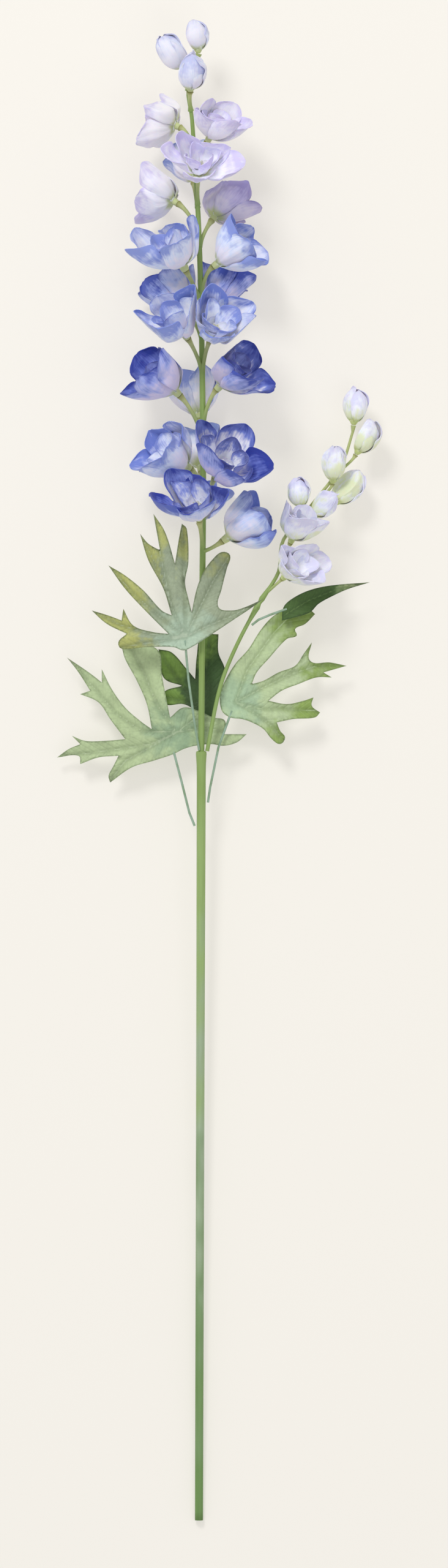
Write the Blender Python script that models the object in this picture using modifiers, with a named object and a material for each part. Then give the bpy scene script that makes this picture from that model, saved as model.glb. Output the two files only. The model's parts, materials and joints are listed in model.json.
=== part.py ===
"""A cut delphinium spike that lies on a table, seen from above.

A slim stem carries a tall head of double blue flowers that pale towards the tip, three buds
at the very top, one slim side spray of pale buds, and deeply cut palmate leaves.

Metres, +Z up. +Y runs along the stem from its cut end to its tip, +X is to the right of
someone who looks down on it, and the table is at Z = 0. The origin is the middle of the
whole spike's outline, on the table.
"""

import math
import random
from collections import namedtuple

import bmesh
import bpy
from mathutils import Vector

MM = 0.001

# Sizes of the whole spike
STEM_X = -0.01206           # the stem's line, left of the outline's middle
CUT_END_Y = -0.45023        # the cut end; the spike is 0.9 m long
SEAT_GAP = 0.0003           # clearance between a piece and what carries it
TABLE_FLAT = 0.0001         # how deep the flat spots are that the spike rests on

# An axis: distance from the cut end, sideways shift, height, radius
STEM_ROUTE = (
    (0.000, -0.0007, 0.0023, 0.00245),
    (0.230, 0.0000, 0.0120, 0.00250),
    (0.446, 0.0007, 0.0232, 0.00270),
    (0.458, 0.0007, 0.0238, 0.00310),
    (0.4615, 0.0007, 0.0240, 0.00310),
    (0.4620, 0.0007, 0.0240, 0.00180),
    (0.540, 0.0012, 0.0278, 0.00180),
    (0.640, 0.0018, 0.0325, 0.00180),
    (0.764, -0.0004, 0.0363, 0.00160),
    (0.840, -0.0048, 0.0375, 0.00120),
    (0.8580, -0.0072, 0.0375, 0.00100),
    (0.8760, -0.0016, 0.0375, 0.00100),
    (0.8790, -0.0010, 0.0375, 0.00220),
)
# The side shoot leaves the stem's sheath and ends in the slim spray
SHOOT_ROUTE = (
    (0.4618, 0.0042, 0.0252, 0.00120),
    (0.5004, 0.0121, 0.0265, 0.00120),
    (0.5253, 0.0220, 0.0260, 0.00115),
    (0.5506, 0.0356, 0.0250, 0.00115),
    (0.5690, 0.0470, 0.0235, 0.00110),
    (0.5884, 0.0500, 0.0225, 0.00105),
    (0.6104, 0.0678, 0.0210, 0.00100),
    (0.6324, 0.0843, 0.0195, 0.00090),
    (0.6530, 0.0915, 0.0190, 0.00080),
    (0.6570, 0.0920, 0.0190, 0.00160),
)

# A flower's seat lies beside its axis, and its petals open along its facing.
#   along: the seat's distance from the cut end       turn: 0 right, 90 up, 180 left, 270 down
#   reach: from the axis to the seat                  rise: towards the tip, in degrees
#   drop: how far below its seat the stalk starts     length: of an outer petal
#   spread: how far the outer petals lean out
#   front: 0 where a petal stands above the flower, 0.5 where a gap between two does
Flower = namedtuple("Flower", "name along turn reach drop rise length spread front tint")
BLOOMS = (
    Flower("bloom_01", 0.6000, 100, 0.0120, 0.017, 46, 0.0365, 52, 0.0, "deep"),
    Flower("bloom_02", 0.5875, 14, 0.0122, 0.006, 34, 0.0360, 46, 0.0, "deep"),
    Flower("bloom_03", 0.6306, 152, 0.0085, 0.015, 30, 0.0345, 50, 0.1, "deep"),
    Flower("bloom_04", 0.6255, 65, 0.0170, 0.024, 38, 0.0370, 55, 0.5, "deep"),
    Flower("bloom_05", 0.6290, 262, 0.0090, 0.014, 64, 0.0320, 43, 0.5, "mid"),
    Flower("bloom_06", 0.6745, 156, 0.0150, 0.025, 42, 0.0350, 50, 0.5, "deep"),
    Flower("bloom_07", 0.6780, 33, 0.0100, 0.020, 42, 0.0350, 50, 0.5, "deep"),
    Flower("bloom_08", 0.7085, 130, 0.0130, 0.019, 44, 0.0355, 54, 0.4, "mid"),
    Flower("bloom_09", 0.7075, 68, 0.0130, 0.019, 40, 0.0345, 52, 0.1, "mid"),
    Flower("bloom_10", 0.7265, 222, 0.0120, 0.017, 46, 0.0310, 48, 0.5, "deep"),
    Flower("bloom_11", 0.7260, 300, 0.0110, 0.016, 55, 0.0310, 46, 0.0, "deep"),
    Flower("bloom_12", 0.7490, 148, 0.0100, 0.018, 56, 0.0385, 58, 0.0, "mid"),
    Flower("bloom_13", 0.7515, 16, 0.0080, 0.017, 34, 0.0340, 44, 0.0, "mid"),
    Flower("bloom_14", 0.7795, 312, 0.0118, 0.016, 42, 0.0300, 50, 0.1, "pale"),
    Flower("bloom_15", 0.7895, 200, 0.0125, 0.020, 32, 0.0310, 66, 0.3, "pale"),
    Flower("bloom_16", 0.8050, 82, 0.0110, 0.016, 44, 0.0315, 54, 0.0, "pale"),
    Flower("bloom_17", 0.8260, 40, 0.0105, 0.018, 55, 0.0290, 54, 0.4, "pale"),
    Flower("bloom_18", 0.8350, 198, 0.0080, 0.015, 24, 0.0300, 68, 0.4, "pale"),
    Flower("bloom_19", 0.8020, 262, 0.0105, 0.015, 50, 0.0272, 46, 0.5, "pale"),
    Flower("bloom_20", 0.5985, 260, 0.0110, 0.016, 54, 0.0290, 46, 0.5, "mid"),
    Flower("bloom_21", 0.6605, 256, 0.0100, 0.015, 64, 0.0320, 43, 0.5, "mid"),
)
TIP_BUDS = (
    Flower("bud_01", 0.8560, 78, 0.0060, 0.011, 62, 0.0270, 18, 0.0, "pale"),
    Flower("bud_02", 0.8690, 150, 0.0060, 0.012, 54, 0.0270, 20, 0.0, "pale"),
    Flower("bud_03", 0.8790, 180, 0.0, 0.0, 87, 0.0220, 16, 0.0, "pale"),
)
SHOOT_BLOOMS = (
    Flower("side_bud_01", 0.5650, 40, 0.0055, 0.009, 35, 0.0300, 46, 0.0, "white"),
    Flower("side_bud_02", 0.5865, 52, 0.0080, 0.013, 56, 0.0290, 46, 0.2, "white"),
)
SHOOT_BUDS = (
    Flower("side_bud_03", 0.6042, 40, 0.0048, 0.010, 30, 0.0245, 22, 0.0, "white"),
    Flower("side_bud_04", 0.6064, 130, 0.0060, 0.011, 80, 0.0215, 18, 0.0, "white"),
    Flower("side_bud_05", 0.6095, 350, 0.0125, 0.017, 48, 0.0275, 22, 0.0, "white"),
    Flower("side_bud_06", 0.6218, 60, 0.0045, 0.010, 78, 0.0250, 18, 0.3, "white"),
    Flower("side_bud_07", 0.6394, 10, 0.0060, 0.011, 62, 0.0245, 18, 0.0, "white"),
    Flower("side_bud_08", 0.6570, 0, 0.0, 0.0, 84, 0.0235, 16, 0.3, "white"),
)

# A layer of petals: how many, size as shares of the flower's length, outline, how each petal
# leans out at its root and at its tip, as shares of the flower's spread, how far it cups, how
# one side lifts over its neighbour, and its root's place in the throat, out and ahead
Layer = namedtuple("Layer", "count length width outline root_lean tip_lean cup twist root ahead")
OUTER = Layer(5, 1.00, 0.68, ((0.0, 0.0), (0.44, 0.92), (0.87, 0.84), (1.0, 0.0)),
              1.32, 0.34, 48, 0.18, 0.06, 0.11)
INNER = Layer(3, 0.66, 0.74, ((0.0, 0.0), (0.46, 0.92), (0.87, 0.80), (1.0, 0.0)),
              0.76, 0.10, 50, 0.22, 0.08, 0.18)
FACES_TABLE = -0.35         # a flower that faces down by this much or more has outer petals only
# A closed bud's petals swell out and meet at the tip, so these leans are degrees
BUD_LEANS = (60, -58)
BUD = Layer(3, 1.05, 0.80, ((0.0, 0.0), (0.38, 0.94), (0.80, 0.84), (1.0, 0.0)),
            1.0, 1.0, 66, 0.30, 0.05, 0.09)
PETAL_THICKNESS = 0.0007
JITTER_DEGREES = 6          # how unlike each other a flower's petals stand
LENGTH_RANGE = (0.92, 1.04)

THROAT_LENGTH = 0.23        # the funnel where the petals meet, as shares of the flower's length
THROAT_RADIUS = 0.13
NECK_RADIUS = 0.0016
THROAT_SIDES = 6
THROAT_WAIST = (0.4, 1.5)   # where the funnel starts to open, and how much wider than the neck
BEE_RADIUS = 0.065          # the tuft in the middle of a flower, as shares of its length
BEE_HEIGHT = 0.11
BEE_SIDES = 6
BEE_TAPER = 0.7
HEART = ((0.0, 0.045), (0.22, 0.15), (0.45, 0.06))    # a bud's heart: distance and radius, as shares

# Where two flowers would cross, each bends away from the wall between them
SPINE_SHARE = 0.75          # of a flower's length, the part of its axis that the wall is set by
CROWD_DISTANCE = 0.052
WALL_CLEARANCE = 0.00065
WALL_SOFTNESS = 0.0022
TABLE_SOFTNESS = 0.0002
STEM_CLEARANCE = 0.0036

TABLE_SIDE = 1.2            # the cutter that flattens what reaches the table
TABLE_DEPTH = 0.01

STALK_SIDES = 6
STALK_STATIONS = (0.0, 0.45, 0.84, 1.0)
STALK_RADII = (0.00115, 0.00110, 0.00140, 0.00240)
SHOOT_STALK_RADII = (0.00080, 0.00080, 0.00100, 0.00170)
STALK_APPROACH = 0.8        # how straight a stalk meets its flower, as a share of the reach
STEM_STEP = 0.075           # the longest straight stretch of each axis
SHOOT_STEP = 0.03
STEM_SIDES = 8
MERGE = 1e-6

LEAF_THICKNESS = 0.0007
LEAF_CELL = 0.018
LEAF_STALK_RADIUS = 0.0009

PETAL_COLOURS = {
    "deep": (0.105, 0.130, 0.530, 1.0),
    "mid": (0.260, 0.330, 0.720, 1.0),
    "pale": (0.640, 0.600, 0.820, 1.0),
    "white": (0.780, 0.750, 0.830, 1.0),
}
EYE_COLOUR = (0.86, 0.85, 0.84, 1.0)
STEM_COLOUR = (0.190, 0.300, 0.090, 1.0)
LEAF_COLOUR = (0.250, 0.350, 0.150, 1.0)

# A leaf: its outline in millimetres from the stem's line and the cut end, the palm's middle,
# the height there, how the blade tilts sideways and along, how it droops away from the palm,
# and its stalk's route from the stem to the palm, as (sideways, along, height)
Leaf = namedtuple("Leaf", "name outline palm height tilt droop stalk")
LEAVES = (
    Leaf(
        "leaf_upper",
        ((-65, 546), (-55, 543), (-47, 540), (-46, 547), (-40, 537), (-28, 533), (-19, 532),
         (-32, 545), (-45, 559), (-55, 573), (-45, 567), (-34, 558), (-23, 546), (-17, 543),
         (-22, 559), (-31, 576), (-36, 592), (-31, 586), (-24, 582), (-26, 593), (-28, 604),
         (-21, 593), (-15, 574), (-13, 587), (-11, 598), (-8, 595), (-7, 575), (-9, 563),
         (-7, 553), (-5, 545), (-2, 559), (2, 569), (7, 576), (13, 581), (18, 579), (16, 571),
         (13, 559), (11, 548), (19, 546), (27, 548), (38, 553), (30, 547), (21, 541),
         (12, 535), (3, 529), (-5, 524), (-10, 522), (-16, 524), (-32, 524), (-47, 523),
         (-49, 527), (-44, 532), (-56, 538)),
        (-9, 530), 35.5, (-0.04, 0.02), 0.0013,
        ((-0.6, 462.4, 27.2), (-3.5, 480, 29.5), (-7.0, 505, 33.0), (-9, 528, 35.4)),
    ),
    Leaf(
        "leaf_left",
        ((-86, 458), (-79, 463), (-72, 466), (-77, 471), (-69, 468), (-57, 468), (-45, 469),
         (-54, 481), (-61, 491), (-72, 496), (-66, 498), (-73, 509), (-80, 518), (-71, 512),
         (-64, 507), (-59, 503), (-59, 511), (-53, 499), (-45, 488), (-36, 480), (-29, 475),
         (-32, 490), (-38, 504), (-45, 517), (-47, 524), (-36, 526), (-25, 522), (-23, 508),
         (-21, 497), (-18, 482), (-10, 488), (-1, 486), (8, 482), (15, 480), (14, 472),
         (21, 472), (28, 472), (22, 467), (14, 465), (7, 466), (-3, 465), (-10, 463),
         (-16, 460), (-28, 456), (-41, 452), (-54, 443), (-55, 447), (-52, 453), (-49, 459),
         (-61, 458), (-72, 454), (-73, 459)),
        (-14, 473), 18.2, (0.0, 0.06), 0.0014,
        ((-3.3, 417, 21.6), (-6.5, 425, 21.2), (-11.0, 443, 19.4), (-16, 462, 17.6)),
    ),
    Leaf(
        "leaf_right",
        ((15, 504), (21, 514), (29, 523), (36, 534), (43, 542), (51, 547), (60, 551),
         (69, 544), (63, 538), (57, 535), (58, 531), (52, 529), (41, 517), (34, 509),
         (31, 502), (38, 504), (47, 509), (57, 513), (62, 520), (67, 527), (66, 516),
         (78, 515), (88, 513), (74, 509), (79, 506), (70, 506), (59, 502), (49, 498),
         (41, 492), (52, 490), (62, 492), (68, 494), (67, 489), (72, 485), (69, 482),
         (56, 481), (46, 479), (48, 474), (51, 470), (48, 466), (43, 469), (38, 475),
         (31, 479), (25, 481), (18, 482), (13, 486), (12, 496)),
        (21, 491), 21.3, (-0.02, 0.02), 0.0012,
        ((4.7, 431, 22.4), (6.0, 440, 22.2), (11.0, 464, 21.6), (19, 486, 21.2)),
    ),
    Leaf(
        "leaf_back",
        ((-25, 523), (-17, 521), (-8, 511), (-3, 505), (-2, 519), (1, 531), (11, 532),
         (11, 521), (15, 510), (12, 497), (7, 482), (2, 479), (-3, 486), (-10, 490),
         (-21, 490), (-22, 497), (-11, 501), (-22, 506)),
        (3, 486), 12.0, (0.0, 0.02), 0.0010,
        ((0.8, 447, 19.2), (1.0, 457, 16.8), (1.5, 470, 13.6), (3, 484, 12.0)),
    ),
    Leaf(
        "leaf_small",
        ((49, 540), (50, 548), (55, 553), (65, 558), (78, 561), (102, 563), (89, 559),
         (80, 555), (71, 550), (66, 545), (57, 542)),
        (52, 546), 24.6, (0.0, 0.0), 0.0006,
        ((31.0, 537.3, 24.2), (35, 540.5, 24.4), (42, 543.5, 24.7), (52, 547, 24.6)),
    ),
)


def clear_scene():
    for obj in list(bpy.data.objects):
        bpy.data.objects.remove(obj)


def matt_material(name, colour, roughness):
    material = bpy.data.materials.new(name)
    material.use_nodes = True
    shader = material.node_tree.nodes["Principled BSDF"]
    shader.inputs["Base Color"].default_value = colour
    shader.inputs["Roughness"].default_value = roughness
    material.diffuse_color = colour
    return material


def axis_point(route, along):
    """The point of an axis at that distance along it, on one smooth curve through its stations."""
    last = len(route) - 2
    k = min(max(sum(row[0] <= along for row in route) - 1, 0), last)
    before, start, end, after = (route[min(max(i, 0), last + 1)] for i in (k - 1, k, k + 1, k + 2))
    span = end[0] - start[0]
    t = (along - start[0]) / span
    values = []
    for column in (1, 2):
        slope_in = (end[column] - before[column]) / (end[0] - before[0]) * span
        slope_out = (after[column] - start[column]) / (after[0] - start[0]) * span
        values.append(
            (2 * t**3 - 3 * t**2 + 1) * start[column] + (t**3 - 2 * t**2 + t) * slope_in
            + (3 * t**2 - 2 * t**3) * end[column] + (t**3 - t**2) * slope_out
        )
    return Vector((STEM_X + values[0], CUT_END_Y + along, values[1]))


def outward(turn):
    angle = math.radians(turn)
    return Vector((math.cos(angle), 0, math.sin(angle)))


def facing(flower):
    rise = math.radians(flower.rise)
    return outward(flower.turn) * math.cos(rise) + Vector((0, math.sin(rise), 0))


def seat(flower, route):
    return axis_point(route, flower.along) + outward(flower.turn) * flower.reach


def mesh_object(name, mesh, material=None):
    obj = bpy.data.objects.new(name, mesh)
    bpy.context.scene.collection.objects.link(obj)
    if material:
        mesh.materials.append(material)
    return obj


def tube(points, radii, sides):
    """A closed tube along the points, as a mesh object."""
    curve = bpy.data.curves.new("tube", "CURVE")
    curve.dimensions = "3D"
    curve.bevel_depth = 1.0
    curve.bevel_resolution = sides // 2 - 2
    curve.use_fill_caps = True
    spline = curve.splines.new("POLY")
    spline.points.add(len(points) - 1)
    for place, point, radius in zip(spline.points, points, radii):
        place.co = (*point, 1)
        place.radius = radius
    guide = mesh_object("tube_guide", curve)
    graph = bpy.context.evaluated_depsgraph_get()
    mesh = bpy.data.meshes.new_from_object(guide.evaluated_get(graph))
    bpy.data.objects.remove(guide)
    bm = bmesh.new()
    bm.from_mesh(mesh)
    bmesh.ops.remove_doubles(bm, verts=bm.verts, dist=MERGE)
    bmesh.ops.recalc_face_normals(bm, faces=bm.faces)
    bm.to_mesh(mesh)
    bm.free()
    return mesh_object("tube", mesh)


def joined(name, body, pieces, material):
    """One solid, named, from a body and the pieces that are rooted in it."""
    group = bpy.data.collections.new(name + "_pieces")
    bpy.context.scene.collection.children.link(group)
    for piece in pieces:
        group.objects.link(piece)
    union = body.modifiers.new("Join", "BOOLEAN")
    union.operation = "UNION"
    union.operand_type = "COLLECTION"
    union.collection = group
    union.solver = "MANIFOLD"
    graph = bpy.context.evaluated_depsgraph_get()
    mesh = bpy.data.meshes.new_from_object(body.evaluated_get(graph))
    for piece in [body, *pieces]:
        bpy.data.objects.remove(piece)
    bpy.data.collections.remove(group)
    mesh.name = name
    mesh.materials.clear()
    return mesh_object(name, mesh, material)


def nearest_pair(first, second, steps=12):
    """The nearest points of two straight stretches, each given by its ends."""
    shares = [i / steps for i in range(steps + 1)]
    pairs = ((first[0].lerp(first[1], s), second[0].lerp(second[1], t)) for s in shares for t in shares)
    return min(pairs, key=lambda pair: (pair[0] - pair[1]).length)


def spine(flower, route):
    start = seat(flower, route)
    return start, start + facing(flower) * flower.length * SPINE_SHARE


def walls_of(flower, route, crowd):
    """The planes a flower's petals stay behind, as (point, normal towards the flower, softness)."""
    walls = []
    for other, other_route in crowd:
        if other == flower:
            continue
        mine, theirs = nearest_pair(spine(flower, route), spine(other, other_route))
        apart = mine - theirs
        if apart.length < CROWD_DISTANCE:
            normal = apart.normalized()
            walls.append(((mine + theirs) / 2 + normal * WALL_CLEARANCE, normal, WALL_SOFTNESS))
    if flower.reach:
        side = outward(flower.turn)
        walls.append((axis_point(route, flower.along) + side * STEM_CLEARANCE, side, WALL_SOFTNESS))
    rest = Vector((0, 0, PETAL_THICKNESS / 2 - TABLE_FLAT))
    walls.append((rest, Vector((0, 0, 1)), TABLE_SOFTNESS))
    return walls


def pressed(point, walls):
    """The point eased back to the flower's side of each wall."""
    for _ in range(2):
        for origin, normal, softness in walls:
            depth = (point - origin).dot(normal)
            if depth < softness:
                eased = softness * math.exp(depth / softness - 1)
                point = point + normal * (eased - depth)
    return point


def petal(layer, length, leans, turn, frame, walls):
    """One blade: a grid shaped to its outline, bent, cupped, set in place and given its thickness."""
    origin, forward, up = frame
    side = forward.cross(up)
    away = up * math.cos(turn) + side * math.sin(turn)
    across = side * math.cos(turn) - up * math.sin(turn)
    root_lean, tip_lean = leans
    bend = tip_lean - root_lean
    cup = math.radians(layer.cup)
    half_width = layer.width * length / 2
    bm = bmesh.new()
    bmesh.ops.create_grid(bm, x_segments=2, y_segments=len(layer.outline) - 1, size=1)
    for vertex in bm.verts:
        row = round((vertex.co.y + 1) / 2 * (len(layer.outline) - 1))
        share, breadth = layer.outline[row]
        lean = root_lean + bend * share
        out = length * (layer.root + (math.cos(root_lean) - math.cos(lean)) / bend)
        ahead = length * (layer.ahead + (math.sin(lean) - math.sin(root_lean)) / bend)
        swing = vertex.co.x * breadth * cup
        sideways = half_width / cup * math.sin(swing)
        raised = half_width / cup * (1 - math.cos(swing)) + layer.twist * sideways
        inward = forward * math.sin(lean) - away * math.cos(lean)
        place = origin + away * out + forward * ahead + across * sideways + inward * raised
        vertex.co = pressed(place, walls)
    bmesh.ops.remove_doubles(bm, verts=bm.verts, dist=MERGE)
    bmesh.ops.triangulate(bm, faces=bm.faces)
    mesh = bpy.data.meshes.new("petal")
    bm.to_mesh(mesh)
    bm.free()
    blade = mesh_object("petal", mesh)
    solid = blade.modifiers.new("Thickness", "SOLIDIFY")
    solid.thickness = PETAL_THICKNESS
    solid.offset = 0
    return blade


def flower_frame(flower, route):
    """Where a flower's throat begins, the way it faces, and the way to its uppermost petal."""
    forward = facing(flower)
    up = Vector((0, 1, 0)) - forward * forward.y
    return seat(flower, route) + forward * SEAT_GAP, forward, up.normalized()


def turned_body(frame, profile, sides):
    """A closed round body along a flower's axis, from (distance, radius) pairs."""
    origin, forward, _ = frame
    points = [origin + forward * distance for distance, _ in profile]
    return tube(points, [radius for _, radius in profile], sides)


def petals(flower, layer, leans, frame, walls, draw, start):
    blades = []
    _, forward, up = frame
    above = math.atan2(forward.cross(up).z, up.z)
    for k in range(layer.count):
        nudge = [math.radians(draw.uniform(-JITTER_DEGREES, JITTER_DEGREES)) for _ in range(3)]
        turn = above + 2 * math.pi * (k + start) / layer.count + nudge[0]
        length = layer.length * flower.length * draw.uniform(*LENGTH_RANGE)
        nudged = (leans[0] + nudge[1], leans[1] + 2 * nudge[2])
        blades.append(petal(layer, length, nudged, turn, frame, walls))
    return blades


def bloom(flower, route, crowd, layers, material):
    """An open flower: its throat and its layers of petals, one piece."""
    draw = random.Random(flower.name)
    frame = flower_frame(flower, route)
    walls = walls_of(flower, route, crowd)
    depth = THROAT_LENGTH * flower.length
    waist, widening = THROAT_WAIST
    profile = (
        (0, NECK_RADIUS),
        (depth * waist, NECK_RADIUS * widening),
        (depth, THROAT_RADIUS * flower.length),
    )
    throat = turned_body(frame, profile, THROAT_SIDES)
    spread = math.radians(flower.spread)
    start = flower.front
    blades = []
    for layer in layers:
        leans = (spread * layer.root_lean, spread * layer.tip_lean)
        blades += petals(flower, layer, leans, frame, walls, draw, start)
        start += 0.5
    return joined(flower.name, throat, blades, material)


def bee(flower, route, material):
    """The pale tuft in the middle of an open flower."""
    origin, forward, up = flower_frame(flower, route)
    frame = (origin + forward * (THROAT_LENGTH * flower.length + SEAT_GAP), forward, up)
    radius = BEE_RADIUS * flower.length
    tip = (BEE_HEIGHT * flower.length, radius * BEE_TAPER)
    tuft = turned_body(frame, ((0, radius), tip), BEE_SIDES)
    tuft.name = flower.name.replace("bloom", "bee")
    tuft.data.name = tuft.name
    tuft.data.materials.append(material)
    return tuft


def bud(flower, route, crowd, material):
    """A closed bud: petals wrapped round a small heart, one piece."""
    draw = random.Random(flower.name)
    frame = flower_frame(flower, route)
    walls = walls_of(flower, route, crowd)
    profile = [(distance * flower.length, radius * flower.length) for distance, radius in HEART]
    heart = turned_body(frame, profile, THROAT_SIDES)
    for vertex in heart.data.vertices:
        vertex.co = pressed(vertex.co, walls)
    leans = [math.radians(lean) for lean in BUD_LEANS]
    blades = petals(flower, BUD, leans, frame, walls, draw, flower.front)
    return joined(flower.name, heart, blades, material)


def stalk(flower, route, radii):
    """A flower's stalk, from the middle of the stem to its seat, flared into a shallow cup."""
    end = seat(flower, route)
    root = axis_point(route, flower.along - flower.drop)
    bend = end - facing(flower) * flower.reach * STALK_APPROACH
    points = [root * (1 - t) ** 2 + bend * 2 * t * (1 - t) + end * t**2 for t in STALK_STATIONS]
    return tube(points, radii, STALK_SIDES)


def stem(name, route, step, flowers, radii, sides, material):
    """An axis with all its flower stalks, one piece."""
    stops = [row[0] for row in route]
    alongs = []
    for start, end in zip(stops, stops[1:]):
        pieces = max(1, round((end - start) / step))
        alongs += [start + (end - start) * i / pieces for i in range(pieces)]
    alongs.append(stops[-1])
    axis_radii = []
    for along in alongs:
        k = min(max(sum(stop <= along for stop in stops) - 1, 0), len(stops) - 2)
        share = (along - stops[k]) / (stops[k + 1] - stops[k])
        axis_radii.append(route[k][3] + (route[k + 1][3] - route[k][3]) * share)
    body = tube([axis_point(route, along) for along in alongs], axis_radii, sides)
    stalks = [stalk(flower, route, radii) for flower in flowers if flower.reach]
    return joined(name, body, stalks, material)


def leaf(plan, material):
    """One palmate leaf: a cut blade, arched over its palm, with its stalk."""
    bm = bmesh.new()
    corners = [bm.verts.new((x * MM, y * MM, 0)) for x, y in plan.outline]
    bm.faces.new(corners)
    for axis in (0, 1):
        values = [corner.co[axis] for corner in corners]
        first = min(values)
        count = round((max(values) - first) / LEAF_CELL)
        cut_normal = Vector((1 - axis, axis, 0))
        for k in range(1, count):
            at = cut_normal * (first + (max(values) - first) * k / count)
            geometry = [*bm.verts, *bm.edges, *bm.faces]
            bmesh.ops.bisect_plane(bm, geom=geometry, plane_co=at, plane_no=cut_normal)
    palm = Vector((*plan.palm, 0)) * MM
    for vertex in bm.verts:
        away = vertex.co - palm
        height = (
            plan.height * MM + plan.tilt[0] * away.x + plan.tilt[1] * away.y
            - plan.droop / MM * away.length_squared
        )
        vertex.co = Vector((STEM_X + vertex.co.x, CUT_END_Y + vertex.co.y, height))
    bmesh.ops.triangulate(bm, faces=bm.faces)
    mesh = bpy.data.meshes.new(plan.name)
    bm.to_mesh(mesh)
    bm.free()
    blade = mesh_object(plan.name, mesh)
    solid = blade.modifiers.new("Thickness", "SOLIDIFY")
    solid.thickness = LEAF_THICKNESS
    solid.offset = 0
    points = [Vector((STEM_X + x * MM, CUT_END_Y + y * MM, z * MM)) for x, y, z in plan.stalk]
    stalk_body = tube(points, [LEAF_STALK_RADIUS] * len(points), STALK_SIDES)
    return joined(plan.name, stalk_body, [blade], material)


def table_block():
    """The table as a cutter: its top is the level on which the spike lies."""
    bpy.ops.mesh.primitive_cube_add(size=1, location=(0, 0, -TABLE_DEPTH / 2))
    block = bpy.context.object
    block.name = "table_cutter"
    block.scale = (TABLE_SIDE, TABLE_SIDE, TABLE_DEPTH)
    block.hide_render = True
    block.display_type = "WIRE"
    cutters = bpy.data.collections.new("cutters")
    bpy.context.scene.collection.children.link(cutters)
    for collection in block.users_collection:
        collection.objects.unlink(block)
    cutters.objects.link(block)
    return block


def rest_on(part, table):
    """Gives a part that reaches the table its flat spots there."""
    if min(corner[2] for corner in part.bound_box) < 0:
        cut = part.modifiers.new("Flat spots", "BOOLEAN")
        cut.operation = "DIFFERENCE"
        cut.object = table
        cut.solver = "MANIFOLD"


def main():
    clear_scene()
    petal_materials = {
        tint: matt_material("petal_cloth_" + tint, colour, 0.75) for tint, colour in PETAL_COLOURS.items()
    }
    eye = matt_material("pale_tuft", EYE_COLOUR, 0.8)
    green = matt_material("moulded_stem", STEM_COLOUR, 0.55)
    blade = matt_material("leaf_cloth", LEAF_COLOUR, 0.7)

    head = [*BLOOMS, *TIP_BUDS]
    spray = [*SHOOT_BLOOMS, *SHOOT_BUDS]
    crowd = [(flower, STEM_ROUTE) for flower in head] + [(flower, SHOOT_ROUTE) for flower in spray]
    parts = [
        stem("main_stem", STEM_ROUTE, STEM_STEP, head, STALK_RADII, STEM_SIDES, green),
        stem("side_stem", SHOOT_ROUTE, SHOOT_STEP, spray, SHOOT_STALK_RADII, STALK_SIDES, green),
    ]
    for plan in LEAVES:
        parts.append(leaf(plan, blade))
    for flower in BLOOMS:
        layers = (OUTER, INNER) if facing(flower).z > FACES_TABLE else (OUTER,)
        parts.append(bloom(flower, STEM_ROUTE, crowd, layers, petal_materials[flower.tint]))
        parts.append(bee(flower, STEM_ROUTE, eye))
    for flower in SHOOT_BLOOMS:
        parts.append(bloom(flower, SHOOT_ROUTE, crowd, (OUTER,), petal_materials[flower.tint]))
    for flower in TIP_BUDS:
        parts.append(bud(flower, STEM_ROUTE, crowd, petal_materials[flower.tint]))
    for flower in SHOOT_BUDS:
        parts.append(bud(flower, SHOOT_ROUTE, crowd, petal_materials[flower.tint]))

    table = table_block()
    for part in parts:
        rest_on(part, table)

    collection = bpy.data.collections.new("delphinium_spike")
    bpy.context.scene.collection.children.link(collection)
    for part in parts:
        collection.objects.link(part)
        bpy.context.scene.collection.objects.unlink(part)


main()
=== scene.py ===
import json
import math
import random
from collections import namedtuple

import bmesh
import bpy
import numpy as np
from bpy.props import FloatProperty, FloatVectorProperty, PointerProperty
from mathutils import Matrix, Vector

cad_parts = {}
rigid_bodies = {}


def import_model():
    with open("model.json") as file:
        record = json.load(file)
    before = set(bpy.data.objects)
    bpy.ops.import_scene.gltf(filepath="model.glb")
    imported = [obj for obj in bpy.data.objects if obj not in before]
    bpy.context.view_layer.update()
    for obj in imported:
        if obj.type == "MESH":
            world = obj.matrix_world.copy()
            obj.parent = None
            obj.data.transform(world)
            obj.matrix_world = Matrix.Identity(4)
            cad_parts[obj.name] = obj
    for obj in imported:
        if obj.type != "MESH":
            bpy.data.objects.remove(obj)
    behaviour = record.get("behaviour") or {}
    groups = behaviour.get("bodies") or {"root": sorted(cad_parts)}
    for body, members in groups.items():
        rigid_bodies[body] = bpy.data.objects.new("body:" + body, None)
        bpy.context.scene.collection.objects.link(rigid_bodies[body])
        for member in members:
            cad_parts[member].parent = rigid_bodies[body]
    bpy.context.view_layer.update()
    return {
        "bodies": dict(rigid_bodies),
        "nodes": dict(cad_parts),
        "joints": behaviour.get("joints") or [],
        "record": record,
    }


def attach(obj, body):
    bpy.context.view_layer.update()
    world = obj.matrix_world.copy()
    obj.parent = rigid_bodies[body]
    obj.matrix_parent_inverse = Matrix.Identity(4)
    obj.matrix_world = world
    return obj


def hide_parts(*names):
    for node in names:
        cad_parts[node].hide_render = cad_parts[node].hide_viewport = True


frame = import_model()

bl_info = {
    "name": "Delphinium Spike",
    "version": (1, 0, 0),
    "blender": (4, 5, 0),
    "location": "View3D > Sidebar > Delphinium",
    "description": "Dresses a cut delphinium spike: printed cloth flowers and leaves on a moulded stem",
    "category": "Object",
}

MM = 0.001

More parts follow.
